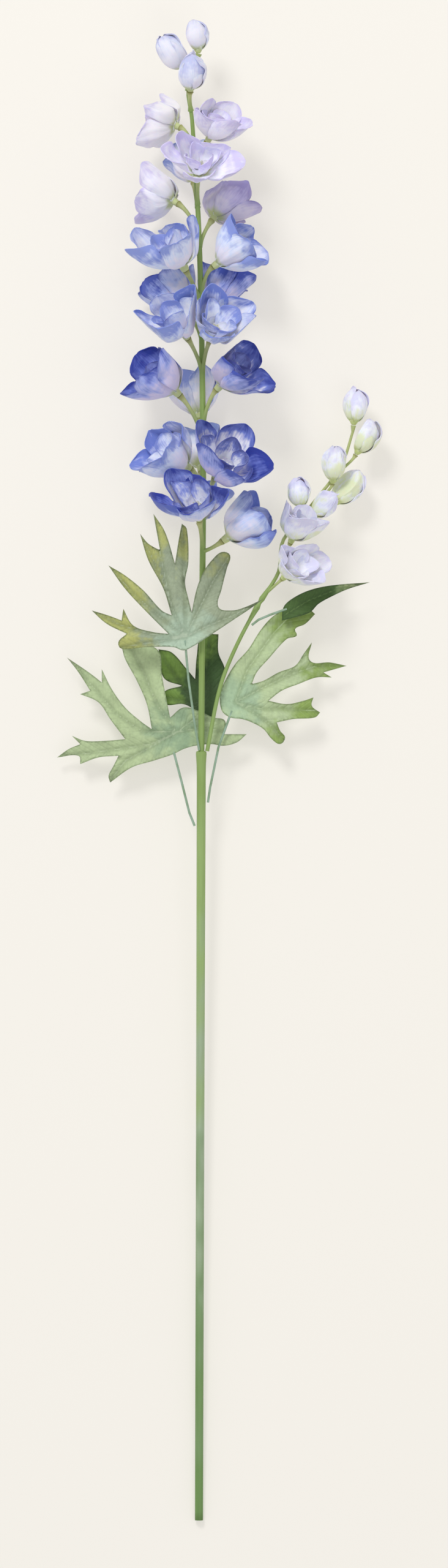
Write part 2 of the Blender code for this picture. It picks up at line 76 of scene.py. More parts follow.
# The layout below repeats the solids' own: an axis is (distance from the cut end, sideways
# shift, height, radius), and a flower's seat lies beside its axis
STEM_X = -0.01206
CUT_END_Y = -0.45023
SEAT_GAP = 0.0003
STEM_ROUTE = (
    (0.000, -0.0007, 0.0023, 0.00245),
    (0.230, 0.0000, 0.0120, 0.00250),
    (0.446, 0.0007, 0.0232, 0.00270),
    (0.458, 0.0007, 0.0238, 0.00310),
    (0.4615, 0.0007, 0.0240, 0.00310),
    (0.4620, 0.0007, 0.0240, 0.00180),
    (0.540, 0.0012, 0.0278, 0.00180),
    (0.640, 0.0018, 0.0325, 0.00180),
    (0.764, -0.0004, 0.0363, 0.00160),
    (0.840, -0.0048, 0.0375, 0.00120),
    (0.8580, -0.0072, 0.0375, 0.00100),
    (0.8760, -0.0016, 0.0375, 0.00100),
    (0.8790, -0.0010, 0.0375, 0.00220),
)
SHOOT_ROUTE = (
    (0.4618, 0.0042, 0.0252, 0.00120),
    (0.5004, 0.0121, 0.0265, 0.00120),
    (0.5253, 0.0220, 0.0260, 0.00115),
    (0.5506, 0.0356, 0.0250, 0.00115),
    (0.5690, 0.0470, 0.0235, 0.00110),
    (0.5884, 0.0500, 0.0225, 0.00105),
    (0.6104, 0.0678, 0.0210, 0.00100),
    (0.6324, 0.0843, 0.0195, 0.00090),
    (0.6530, 0.0915, 0.0190, 0.00080),
    (0.6570, 0.0920, 0.0190, 0.00160),
)

# turn: 0 right, 90 up, 180 left, 270 down; rise: towards the tip; spread: of the outer petals;
# front: 0 where a petal stands above the flower, 0.5 where a gap does
Flower = namedtuple("Flower", "name along turn reach drop rise length spread front tint")
BLOOMS = (
    Flower("bloom_01", 0.6000, 100, 0.0120, 0.017, 46, 0.0365, 52, 0.0, "deep"),
    Flower("bloom_02", 0.5875, 14, 0.0122, 0.006, 34, 0.0360, 46, 0.0, "deep"),
    Flower("bloom_03", 0.6306, 152, 0.0085, 0.015, 30, 0.0345, 50, 0.1, "deep"),
    Flower("bloom_04", 0.6255, 65, 0.0170, 0.024, 38, 0.0370, 55, 0.5, "deep"),
    Flower("bloom_05", 0.6290, 262, 0.0090, 0.014, 64, 0.0320, 43, 0.5, "mid"),
    Flower("bloom_06", 0.6745, 156, 0.0150, 0.025, 42, 0.0350, 50, 0.5, "deep"),
    Flower("bloom_07", 0.6780, 33, 0.0100, 0.020, 42, 0.0350, 50, 0.5, "deep"),
    Flower("bloom_08", 0.7085, 130, 0.0130, 0.019, 44, 0.0355, 54, 0.4, "mid"),
    Flower("bloom_09", 0.7075, 68, 0.0130, 0.019, 40, 0.0345, 52, 0.1, "mid"),
    Flower("bloom_10", 0.7265, 222, 0.0120, 0.017, 46, 0.0310, 48, 0.5, "deep"),
    Flower("bloom_11", 0.7260, 300, 0.0110, 0.016, 55, 0.0310, 46, 0.0, "deep"),
    Flower("bloom_12", 0.7490, 148, 0.0100, 0.018, 56, 0.0385, 58, 0.0, "mid"),
    Flower("bloom_13", 0.7515, 16, 0.0080, 0.017, 34, 0.0340, 44, 0.0, "mid"),
    Flower("bloom_14", 0.7795, 312, 0.0118, 0.016, 42, 0.0300, 50, 0.1, "pale"),
    Flower("bloom_15", 0.7895, 200, 0.0125, 0.020, 32, 0.0310, 66, 0.3, "pale"),
    Flower("bloom_16", 0.8050, 82, 0.0110, 0.016, 44, 0.0315, 54, 0.0, "pale"),
    Flower("bloom_17", 0.8260, 40, 0.0105, 0.018, 55, 0.0290, 54, 0.4, "pale"),
    Flower("bloom_18", 0.8350, 198, 0.0080, 0.015, 24, 0.0300, 68, 0.4, "pale"),
    Flower("bloom_19", 0.8020, 262, 0.0105, 0.015, 50, 0.0272, 46, 0.5, "pale"),
    Flower("bloom_20", 0.5985, 260, 0.0110, 0.016, 54, 0.0290, 46, 0.5, "mid"),
    Flower("bloom_21", 0.6605, 256, 0.0100, 0.015, 64, 0.0320, 43, 0.5, "mid"),
)
TIP_BUDS = (
    Flower("bud_01", 0.8560, 78, 0.0060, 0.011, 62, 0.0270, 18, 0.0, "pale"),
    Flower("bud_02", 0.8690, 150, 0.0060, 0.012, 54, 0.0270, 20, 0.0, "pale"),
    Flower("bud_03", 0.8790, 180, 0.0, 0.0, 87, 0.0220, 16, 0.0, "pale"),
)
SHOOT_BLOOMS = (
    Flower("side_bud_01", 0.5650, 40, 0.0055, 0.009, 35, 0.0300, 46, 0.0, "white"),
    Flower("side_bud_02", 0.5865, 52, 0.0080, 0.013, 56, 0.0290, 46, 0.2, "white"),
)
SHOOT_BUDS = (
    Flower("side_bud_03", 0.6042, 40, 0.0048, 0.010, 30, 0.0245, 22, 0.0, "white"),
    Flower("side_bud_04", 0.6064, 130, 0.0060, 0.011, 80, 0.0215, 18, 0.0, "white"),
    Flower("side_bud_05", 0.6095, 350, 0.0125, 0.017, 48, 0.0275, 22, 0.0, "white"),
    Flower("side_bud_06", 0.6218, 60, 0.0045, 0.010, 78, 0.0250, 18, 0.3, "white"),
    Flower("side_bud_07", 0.6394, 10, 0.0060, 0.011, 62, 0.0245, 18, 0.0, "white"),
    Flower("side_bud_08", 0.6570, 0, 0.0, 0.0, 84, 0.0235, 16, 0.3, "white"),
)

# A layer of petals: how many, size as shares of the flower's length, how each petal leans out at
# its root and at its tip, how far it cups, how one side lifts over its neighbour, and its root's
# place in the throat, out and ahead. An open flower's petals lean by shares of its spread
Layer = namedtuple("Layer", "count length width leans cup twist root ahead")
OUTER = Layer(5, 1.00, 0.68, (1.32, 0.34), 48, 0.18, 0.06, 0.11)
INNER = Layer(4, 0.66, 0.66, (0.80, 0.14), 52, 0.22, 0.08, 0.18)
CORE = Layer(4, 0.37, 0.86, (0.95, 0.45), 52, 0.20, 0.06, 0.19)
# A closed bud's petals swell out and meet at the tip, over a second layer that fills it
BUD_LEANS = (math.radians(64), math.radians(-70))
BUD = Layer(3, 1.05, 0.80, BUD_LEANS, 66, 0.19, 0.05, 0.09)
BUD_FILL = Layer(3, 0.92, 0.76, BUD_LEANS, 66, 0.19, 0.05, 0.10)
LENGTH_RANGE = (0.92, 1.04)
CUP_DEPTH = 1.15
JITTER = math.radians(6)
THROAT_LENGTH = 0.23
# Depths of a petal's pleats, rolled sides and notch, as shares of its length, and half breadths of
# its keel and notch, as shares of its own
PLEAT_DEPTH = 0.008
SIDE_ROLL = 0.05
NOTCH_DEPTH = 0.03
KEEL_BREADTH = 0.16
NOTCH_BREADTH = 0.22

# Walls between flowers, which their petals bend away from
SPINE_SHARE = 0.75
CROWD_DISTANCE = 0.052
WALL_CLEARANCE = 0.00065
WALL_SOFTNESS = 0.0022
TABLE_SOFTNESS = 0.0002
STEM_CLEARANCE = 0.0036

# A cut blank: half breadths at shares of its length, how far its corners fall back at the tip,
# its cells across and along, and how much of the usual roll its tip takes
Blank = namedtuple("Blank", "breadths tip_drop across along roll")
OPEN_BLANK = Blank(
    ((0.0, 0.16), (0.10, 0.29), (0.20, 0.53), (0.32, 0.82), (0.46, 1.06), (0.60, 1.19),
     (0.70, 1.21), (0.79, 1.16), (0.86, 1.05), (0.92, 0.88), (0.96, 0.70), (1.0, 0.44)),
    0.05, 18, 28, 1.0)
BUD_BLANK = Blank(
    ((0.0, 0.20), (0.12, 0.48), (0.25, 0.76), (0.38, 0.95), (0.55, 1.00), (0.72, 0.92),
     (0.86, 0.74), (0.94, 0.52), (1.0, 0.26)), 0.04, 16, 22, 0.2)
TUFT_BLANK = Blank(
    ((0.0, 0.30), (0.30, 0.62), (0.60, 0.95), (0.82, 0.90), (1.0, 0.45)), 0.18, 6, 8, 1.0)
# A flower's turned throat and a bud's heart: distance from the seat and radius, as shares of a
# petal's length
THROAT_PROFILE = (
    (0.0, 0.058), (0.03, 0.066), (0.065, 0.070), (0.10, 0.075), (0.15, 0.092), (0.20, 0.118),
    (0.235, 0.134), (0.236, 0.126), (0.205, 0.104), (0.185, 0.070),
)
HEART_PROFILE = (
    (0.0, 0.050), (0.05, 0.085), (0.12, 0.125), (0.20, 0.150), (0.28, 0.140), (0.36, 0.09),
)
# A kind of flower: its blank, its turned body and that one's sides, and its layers of petals, each
# with its share of white and how far its tips may close, in degrees
Kind = namedtuple("Kind", "plan body sides layers")
OPEN_FLOWER = Kind(
    OPEN_BLANK, THROAT_PROFILE, 24, ((OUTER, 0.0, 22), (INNER, 0.10, -26), (CORE, 1.0, 10)))
CLOSED_BUD = Kind(BUD_BLANK, HEART_PROFILE, 20, ((BUD, 0.0, 0), (BUD_FILL, 0.0, 0)))

# Where a flower's petals are set: its frame, the walls round it and its row of random numbers
Nest = namedtuple("Nest", "frame walls hand")

# The tuft, as shares of the flower's length: its lobes, which lean out by so many degrees at the
# root and by a range of them at the tip; its filaments, each a path of shares of its reach and
# height, rise above that and radius; and the rounded foot that they stand on
TUFT_LOBE = Layer(5, 0.15, 0.62, (58, (-18, 8)), 64, 0.15, 0.12, 0.0)
TUFT_LENGTHS = (0.85, 1.1)
TUFT_JITTER = 0.2
TUFT_CLOTH = 0.010
FILAMENTS = 11
FILAMENT_SWING = 2.4
FILAMENT_REACH = (0.012, 0.0042)
FILAMENT_HEIGHTS = (0.095, 0.125)
FILAMENT_PATH = (
    (0.6, 0.0, 0.0, 0.0050), (0.9, 0.5, 0.0, 0.0042), (1.25, 0.88, 0.0, 0.0040),
    (1.3, 1.0, 0.0, 0.0085), (1.3, 1.0, 0.014, 0.0040),
)
TUFT_FOOT = ((-0.004, 0.05), (0.006, 0.062), (0.016, 0.05), (0.024, 0.02))

# Prints of the petal cloth, and one dull print that is painted shade
PRINT_STOPS = ("root", "middle", "edge", "inner_middle", "inner_edge")
PRINTS = {
    "deep": ("#E1DFFA", "#BBC9FA", "#5566BE", "#98A8EC", "#3D4CAA"),
    "night": ("#D9D0EE", "#A4AFEA", "#4557B4", "#7888D4", "#30409C"),
    "mid": ("#EDE8FB", "#C8D6FC", "#7D8ED6", "#C4D1FA", "#6A7DCC"),
    "light": ("#F2ECFB", "#DCE5FD", "#8C9CDD", "#DDE4FC", "#7A8DD6"),
    "faded": ("#F2EDF7", "#DBE0F8", "#8FA1DE", "#CCD5F7", "#788DD4"),
    "pale": ("#F8F4FC", "#EEEBFA", "#CEC7EC", "#F2F0FC", "#D5CFF2"),
    "silver": ("#ECE9F5", "#DFE1F4", "#BDC1E4", "#E4E6F7", "#C4C8E8"),
    # painted shade: dull purple-greys for bloom_14, which stands in the others' shade
    "dusk": ("#E0D8EC", "#C4BCE2", "#9C93C8", "#B9B1DE", "#9088C2"),
    "white": ("#E9EECB", "#F3F3FD", "#D8D7F1", "#F6F6FE", "#DEDDF5"),
}
# Flowers printed darker or lighter than the rest of their kind; bloom_14's print is painted shade
PRINT_OF = {
    "bloom_14": "dusk", "bloom_11": "night", "bloom_04": "night", "bloom_06": "night",
    "bloom_07": "night", "bloom_02": "mid", "bloom_03": "light", "bloom_08": "light",
    "bloom_09": "light", "bloom_12": "light", "bloom_13": "light",
    "bloom_05": "faded", "bloom_19": "faded", "bloom_21": "faded",
    "bud_01": "silver", "bud_02": "silver", "bud_03": "silver",
}
# Prints of the leaf cloth
LEAF_STOPS = ("palm", "blade", "tip", "vein", "edge")
LEAF_PRINTS = {
    "leaf_upper": ("#B2C8B0", "#9AA68A", "#B2B564", "#C6D2BA", "#5C6B46"),
    "leaf_left": ("#93AC8A", "#B2C496", "#B8C99C", "#C8D6B4", "#778862"),
    "leaf_right": ("#A8C29F", "#B5C79A", "#7F9A3E", "#CCDDB6", "#6A7D4A"),
    "leaf_back": ("#445C36", "#3E5A2F", "#7F9F4C", "#66804F", "#2B3D1E"),
    "leaf_small": ("#48652F", "#43602C", "#BAC692", "#7A9856", "#2C451E"),
}
# How much further in the tips' colour reaches towards +X, for a metre
SUNNY_SIDE = {"leaf_upper": -9.0, "leaf_right": 6.0, "leaf_back": -19.0, "leaf_small": 4.0}
OTHER_COLOURS = {
    "petal_white": "#F8F8FE", "root_green": "#BFCB7C", "root_olive": "#8C8A45",
    "tuft": "#F8F6F1", "tuft_base": "#DDE0B4",
    "stem_base": "#6C8F50", "stem_foot": "#7C986A", "stem_lower": "#9BAE8E",
    "stem_middle": "#94AE6C", "stem_head": "#86A058", "stem_end": "#55733A", "stalk": "#C3C78C",
    "leaf_stalk": "#9AB4A2", "leaf_stalk_thin": "#7F9A78", "floor": "#F7F3EB", "sky": "#FFFFFF",
}

# A leaf: its outline in millimetres from the stem's line and the cut end, the palm's middle,
# the height there, how the blade tilts and droops, its stalk's route, and its main veins
Leaf = namedtuple("Leaf", "name outline palm height tilt droop stalk veins")
LEAVES = (
    Leaf(
        "leaf_upper",
        ((-65, 546), (-55, 543), (-47, 540), (-46, 547), (-40, 537), (-28, 533), (-19, 532),
         (-32, 545), (-45, 559), (-55, 573), (-45, 567), (-34, 558), (-23, 546), (-17, 543),
         (-22, 559), (-31, 576), (-36, 592), (-31, 586), (-24, 582), (-26, 593), (-28, 604),
         (-21, 593), (-15, 574), (-13, 587), (-11, 598), (-8, 595), (-7, 575), (-9, 563),
         (-7, 553), (-5, 545), (-2, 559), (2, 569), (7, 576), (13, 581), (18, 579), (16, 571),
         (13, 559), (11, 548), (19, 546), (27, 548), (38, 553), (30, 547), (21, 541),
         (12, 535), (3, 529), (-5, 524), (-10, 522), (-16, 524), (-32, 524), (-47, 523),
         (-49, 527), (-44, 532), (-56, 538)),
        (-9, 530), 35.5, (-0.04, 0.02), 0.0013,
        ((-0.6, 462.4, 27.2), (-3.5, 480, 29.5), (-7.0, 505, 33.0), (-9, 528, 35.4)),
        (((-9, 530), (-30, 532), (-47, 537), (-65, 546)),
         ((-9, 530), (-25, 543), (-40, 556), (-55, 573)),
         ((-9, 530), (-17, 548), (-25, 570), (-36, 592)),
         ((-17, 548), (-23, 575), (-28, 604)),
         ((-9, 530), (-9, 553), (-10, 575), (-11, 598)),
         ((-9, 530), (0, 548), (8, 564), (17, 578)),
         ((-9, 530), (5, 537), (20, 543), (38, 553)),
         ((-9, 530), (-28, 527), (-47, 524))),
    ),
    Leaf(
        "leaf_left",
        ((-86, 458), (-79, 463), (-72, 466), (-77, 471), (-69, 468), (-57, 468), (-45, 469),
         (-54, 481), (-61, 491), (-72, 496), (-66, 498), (-73, 509), (-80, 518), (-71, 512),
         (-64, 507), (-59, 503), (-59, 511), (-53, 499), (-45, 488), (-36, 480), (-29, 475),
         (-32, 490), (-38, 504), (-45, 517), (-47, 524), (-36, 526), (-25, 522), (-23, 508),
         (-21, 497), (-18, 482), (-10, 488), (-1, 486), (8, 482), (15, 480), (14, 472),
         (21, 472), (28, 472), (22, 467), (14, 465), (7, 466), (-3, 465), (-10, 463),
         (-16, 460), (-28, 456), (-41, 452), (-54, 443), (-55, 447), (-52, 453), (-49, 459),
         (-61, 458), (-72, 454), (-73, 459)),
        (-14, 473), 18.2, (0.0, 0.06), 0.0014,
        ((-3.3, 417, 21.6), (-6.5, 425, 21.2), (-11.0, 443, 19.4), (-16, 462, 17.6)),
        (((-14, 473), (-30, 466), (-50, 463), (-86, 458)),
         ((-14, 473), (-35, 474), (-50, 484), (-64, 500), (-80, 518)),
         ((-14, 473), (-26, 490), (-33, 507), (-42, 525)),
         ((-14, 473), (0, 476), (12, 474), (28, 472)),
         ((-14, 473), (-32, 463), (-45, 456), (-54, 444)),
         ((-14, 473), (-5, 480), (10, 481))),
    ),
    Leaf(
        "leaf_right",
        ((15, 504), (21, 514), (29, 523), (36, 534), (43, 542), (51, 547), (60, 551),
         (69, 544), (63, 538), (57, 535), (58, 531), (52, 529), (41, 517), (34, 509),
         (31, 502), (38, 504), (47, 509), (57, 513), (62, 520), (67, 527), (66, 516),
         (78, 515), (88, 513), (74, 509), (79, 506), (70, 506), (59, 502), (49, 498),
         (41, 492), (52, 490), (62, 492), (68, 494), (67, 489), (72, 485), (69, 482),
         (56, 481), (46, 479), (48, 474), (51, 470), (48, 466), (43, 469), (38, 475),
         (31, 479), (25, 481), (18, 482), (13, 486), (12, 496)),
        (21, 491), 21.3, (-0.02, 0.02), 0.0012,
        ((4.7, 431, 22.4), (6.0, 440, 22.2), (11.0, 464, 21.6), (19, 486, 21.2)),
        (((21, 491), (28, 510), (42, 530), (60, 550)),
         ((21, 491), (38, 500), (55, 508), (70, 513), (88, 513)),
         ((50, 507), (60, 516), (66, 525)),
         ((21, 491), (38, 487), (55, 487), (71, 486)),
         ((21, 491), (34, 484), (44, 476), (50, 468))),
    ),
    Leaf(
        "leaf_back",
        ((-25, 523), (-17, 521), (-8, 511), (-3, 505), (-2, 519), (1, 531), (11, 532),
         (11, 521), (15, 510), (12, 497), (7, 482), (2, 479), (-3, 486), (-10, 490),
         (-21, 490), (-22, 497), (-11, 501), (-22, 506)),
        (3, 486), 12.0, (0.0, 0.02), 0.0010,
        ((0.8, 447, 19.2), (1.0, 457, 16.8), (1.5, 470, 13.6), (3, 484, 12.0)),
        (((3, 486), (3, 505), (6, 531)),
         ((3, 486), (-10, 500), (-25, 522)),
         ((3, 486), (-10, 492), (-21, 494))),
    ),
    Leaf(
        "leaf_small",
        ((49, 540), (50, 548), (55, 553), (65, 558), (78, 561), (102, 563), (89, 559),
         (80, 555), (71, 550), (66, 545), (57, 542)),
        (52, 546), 24.6, (0.0, 0.0), 0.0006,
        ((31.0, 537.3, 24.2), (35, 540.5, 24.4), (42, 543.5, 24.7), (52, 547, 24.6)),
        (((50, 543), (65, 552), (80, 558), (102, 563)),),
    ),
)

# How a leaf is cut: the steps of its outline in millimetres, and in metres how far its grid
# stands proud of it and how high the block is that cuts it
OUTLINE_STEP = 1.3
SLAB_MARGIN = 0.002
CUTTER_HEIGHT = 0.01
# How it is pressed: how many millimetres from a vein it folds, from its margin it waves and beside
# a vein it is grooved, and the groove's depth in metres
FOLD_REACH = 3.2
WAVE_REACH = 3.2
GROOVE_REACH = 0.55
GROOVE_DEPTH = 0.00022

# Stem and stalk radii that the routes don't give, as (distance or share of the way, radius)
STEM_EXTRA = (
    (0.0004, 0.00245), (0.4480, 0.00272), (0.4535, 0.00280), (0.4565, 0.00300),
    (0.4600, 0.00322), (0.4612, 0.00310), (0.4624, 0.00185),
)
SHOOT_EXTRA = (
    (0.5400, 0.00115), (0.5440, 0.00150), (0.5480, 0.00190), (0.5530, 0.00175),
    (0.5600, 0.00112),
)
STALK_RADII = (
    (0.0, 0.0018), (0.10, 0.0015), (0.25, 0.00118), (0.55, 0.00112), (0.75, 0.00128),
    (0.88, 0.00160), (0.96, 0.0020), (1.0, 0.0022),
)
SHOOT_STALK_RADII = (
    (0.0, 0.0012), (0.12, 0.0009), (0.5, 0.0008), (0.80, 0.00095), (0.92, 0.0014), (1.0, 0.0017),
)
STALK_STEPS = 24
STALK_SIDES = 12
# How far before its seat a stalk turns to face as its flower does, as a share of the reach
STALK_TURN = 0.8
# How far an axis takes the stalks' pale colour towards its tip
AXIS_PALENESS = 0.62
LEAF_STALK_STEPS = 9
LEAF_STALK_SIDES = 10

# The photograph's frame on the table: its middle and the height it covers
PHOTO_MIDDLE = (0.00227, -0.00813, 0.035)
PHOTO_HEIGHT = 0.9385
CAMERA_HEIGHT = 10.0
CLIPPING = (0.1, 40)
SENSOR_WIDTH = 36
PAPER_SIZE = 8
SKY_STRENGTH = 0.60
LIGHT_AIM = (0.0, 0.12, 0.03)
# Soft lamps: name, place, size and power
LIGHTS = (
    ("key_above", (-0.9, 2.2, 2.6), 1.0, 50.0),
    ("fill_front", (0.9, -0.8, 3.2), 2.6, 14.0),
)


def hex_colour(text):
    """An sRGB hex colour as the linear colour that Blender works in."""
    channels = [int(text[i:i + 2], 16) / 255 for i in (1, 3, 5)]
    return (*[c / 12.92 if c <= 0.04045 else ((c + 0.055) / 1.055) ** 2.4 for c in channels], 1.0)


def colour_setting(words, default):
    """A colour in the panel."""
    return FloatVectorProperty(
        name=words.capitalize(), description="Colour of the " + words, default=hex_colour(default),
        subtype="COLOR", size=4, min=0, max=1)


def length_setting(name, description, default, lowest=0.0):
    """A length in the panel."""
    return FloatProperty(
        name=name, description=description, default=default, unit="LENGTH", min=lowest)


def share_setting(name, description, default):
    """A share of a petal's length in the panel."""
    return FloatProperty(
        name=name, description=description + ", as a share of its length", default=default, min=0)


def colour_settings():
    """One colour for each stop of each print, and for the other finishes."""
    found = {}
    for prints, stops in ((PRINTS, PRINT_STOPS), (LEAF_PRINTS, LEAF_STOPS)):
        for print_name, values in prints.items():
            for stop, value in zip(stops, values):
                words = f"{print_name} print, {stop}".replace("_", " ")
                found[f"{print_name}_{stop}"] = colour_setting(words, value)
    for name, value in OTHER_COLOURS.items():
        found[name] = colour_setting(name.replace("_", " "), value)
    return found


class DelphiniumColours(bpy.types.PropertyGroup):
    """Colours of the printed cloth, the moulding and the floor."""

    __annotations__ = colour_settings()


class DelphiniumSizes(bpy.types.PropertyGroup):
    """Sizes of the cloth and how it is shaped."""

    petal_cloth: length_setting("Petal cloth", "Thickness of the petal cloth", 0.0004, 0.0001)
    petal_wave: share_setting("Petal wave", "How far a petal's margin waves", 0.044)
    petal_keel: share_setting("Petal keel", "Depth of the fold down a petal", 0.018)
    petal_roll: share_setting("Petal roll", "How far a petal's tip may roll back", 0.10)
    leaf_cloth: length_setting("Leaf cloth", "Thickness of the leaf cloth", 0.0005, 0.0001)
    leaf_cell: length_setting(
        "Leaf cell", "Size of the cells that a leaf is shaped by", 0.0013, 0.0005)
    leaf_fold: length_setting(
        "Leaf fold", "How far a blade rises away from its main veins", 0.0016)
    leaf_wave: length_setting("Leaf wave", "How far a blade's margin waves", 0.0009)
    leaf_stalk: length_setting("Leaf stalk", "Radius of a leaf's wire stalk", 0.0007, 0.0002)


# Layout, as the solids have it

def hermite(start, leave, end, arrive, t):
    """A point of the smooth curve that leaves start and arrives at end at those slopes."""
    return (
        (2 * t**3 - 3 * t**2 + 1) * start + (t**3 - 2 * t**2 + t) * leave
        + (3 * t**2 - 2 * t**3) * end + (t**3 - t**2) * arrive
    )


def axis_point(route, along):
    """An axis's point at that distance along it, on one smooth curve through its stations."""
    last = len(route) - 2
    k = min(max(sum(row[0] <= along for row in route) - 1, 0), last)
    before, start, end, after = (route[min(max(i, 0), last + 1)] for i in (k - 1, k, k + 1, k + 2))
    span = end[0] - start[0]
    t = (along - start[0]) / span
    values = []
    for column in (1, 2):
        slope_in = (end[column] - before[column]) / (end[0] - before[0]) * span
        slope_out = (after[column] - start[column]) / (after[0] - start[0]) * span
        values.append(hermite(start[column], slope_in, end[column], slope_out, t))
    return Vector((STEM_X + values[0], CUT_END_Y + along, values[1]))


def outward(turn):
    """The way out from an axis at that turn round it."""
    angle = math.radians(turn)
    return Vector((math.cos(angle), 0, math.sin(angle)))


def facing(flower):
    """The way a flower faces."""
    rise = math.radians(flower.rise)
    return outward(flower.turn) * math.cos(rise) + Vector((0, math.sin(rise), 0))


def seat(flower, route):
    """The place of the seat that carries a flower."""
    return axis_point(route, flower.along) + outward(flower.turn) * flower.reach


def flower_frame(flower, route):
    """Where a flower's throat begins, the way it faces, and the way to its uppermost petal."""
    forward = facing(flower)
    up = Vector((0, 1, 0)) - forward * forward.y
    return seat(flower, route) + forward * SEAT_GAP, forward, up.normalized()


def whole_crowd():
    """Every flower with the axis that carries it, in the solids' order."""
    head = [(flower, STEM_ROUTE) for flower in (*BLOOMS, *TIP_BUDS)]
    return head + [(flower, SHOOT_ROUTE) for flower in (*SHOOT_BLOOMS, *SHOOT_BUDS)]


def nearest_pair(first, second, steps=12):
    """The nearest points of two straight stretches, each given by its ends."""
    shares = [i / steps for i in range(steps + 1)]
    pairs = (
        (first[0].lerp(first[1], s), second[0].lerp(second[1], t)) for s in shares for t in shares)
    return min(pairs, key=lambda pair: (pair[0] - pair[1]).length)


def spine(flower, route):
    """The two ends of the stretch that a flower's petals stand round."""
    start = seat(flower, route)
    return start, start + facing(flower) * flower.length * SPINE_SHARE


def walls_of(flower, route, crowd, thickness):
    """The planes a flower's petals stay behind, as (point, normal towards the flower, softness)."""
    walls = []
    for other, other_route in crowd:
        if other == flower:
            continue
        mine, theirs = nearest_pair(spine(flower, route), spine(other, other_route))
        apart = mine - theirs
        if apart.length < CROWD_DISTANCE:
            normal = apart.normalized()
            walls.append(((mine + theirs) / 2 + normal * WALL_CLEARANCE, normal, WALL_SOFTNESS))
    if flower.reach:
        side = outward(flower.turn)
        walls.append((axis_point(route, flower.along) + side * STEM_CLEARANCE, side, WALL_SOFTNESS))
    walls.append((Vector((0, 0, thickness / 2)), Vector((0, 0, 1)), TABLE_SOFTNESS))
    return walls


def pressed(points, walls):
    """The points eased back to the flower's side of each wall."""
    for _ in range(2):
        for origin, normal, softness in walls:
            depth = (points - np.array(origin)) @ np.array(normal)
            eased = softness * np.exp(np.minimum(depth, softness) / softness - 1)
            points = points + np.outer(np.where(depth < softness, eased - depth, 0), normal)
    return points


def smooth_step(values, low, high):
    """0 below low, 1 above high, and an even curve between."""
    share = np.clip((values - low) / (high - low), 0, 1)
    return share * share * (3 - 2 * share)


# Modelling

def choose(*objects):
    """Leaves edit mode, and selects just these objects, the first one active."""
    if bpy.context.object and bpy.context.object.mode != "OBJECT":
        bpy.ops.object.mode_set(mode="OBJECT")
    bpy.ops.object.select_all(action="DESELECT")
    for obj in objects:
        obj.select_set(True)
    if objects:
        bpy.context.view_layer.objects.active = objects[0]


def corners(obj):
    """An object's corner points, as an array."""
    found = np.empty(3 * len(obj.data.vertices))
    obj.data.vertices.foreach_get("co", found)
    return found.reshape(-1, 3)


def move_corners(obj, places):
    """Sets an object's corner points."""
    obj.data.vertices.foreach_set("co", np.asarray(places, np.float32).ravel())
    obj.data.update()


def mark(obj, name, values):
    """Stores a number at each corner point, for the material to read."""
    data = obj.data
    layer = data.attributes.get(name) or data.attributes.new(name, "FLOAT", "POINT")
    values = np.broadcast_to(np.asarray(values, np.float32), len(data.vertices))
    layer.data.foreach_set("value", np.ascontiguousarray(values))


def copied(model):
    """A copy of a model with its own mesh."""
    twin = model.copy()
    twin.data = model.data.copy()
    bpy.context.scene.collection.objects.link(twin)
    return twin


def joined(pieces):
    """The pieces as one object."""
    choose(*pieces)
    if len(pieces) > 1:
        bpy.ops.object.join()
    return bpy.context.object


def finished(piece, name, node, materials, angle=55):
    """Names a piece, gives it its finish and fastens it to the frame."""
    choose(piece)
    bpy.ops.object.shade_smooth_by_angle(angle=math.radians(angle))
    piece.name = piece.data.name = name
    if materials:
        piece.data.materials.clear()
        for material in materials:
            piece.data.materials.append(material)
    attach(piece, "root")
    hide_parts(node)
    return piece


def select_corners(piece, test):
    """In edit mode, selects the corner points whose place passes the test."""
    shape = bmesh.from_edit_mesh(piece.data)
    for vertex in shape.verts:
        vertex.select = test(vertex.co)
    shape.select_flush(True)
    bmesh.update_edit_mesh(piece.data)


def cut_blank(plan):
    """A flat cloth blank, 2 wide and 2 long: a grid drawn in row by row to the petal's outline."""
    choose()
    bpy.ops.mesh.primitive_grid_add(x_subdivisions=plan.across, y_subdivisions=plan.along, size=2)
    blank = bpy.context.object
    bpy.ops.object.mode_set(mode="EDIT")
    bpy.ops.mesh.select_mode(type="VERT")
    shares, breadths = zip(*plan.breadths)
    for row in range(plan.along + 1):
        at = 2 * row / plan.along - 1
        select_corners(blank, lambda place: abs(place.y - at) < 0.2 / plan.along)
        breadth = float(np.interp(row / plan.along, shares, breadths))
        bpy.ops.transform.resize(value=(breadth, 1, 1), center_override=(0, at, 0))
    bpy.ops.object.mode_set(mode="OBJECT")
    return blank


def face_outwards():
    """From edit mode: turns every face of a closed shape outwards, and leaves edit mode."""
    bpy.ops.mesh.select_all(action="SELECT")
    bpy.ops.mesh.normals_make_consistent(inside=False)
    bpy.ops.object.mode_set(mode="OBJECT")


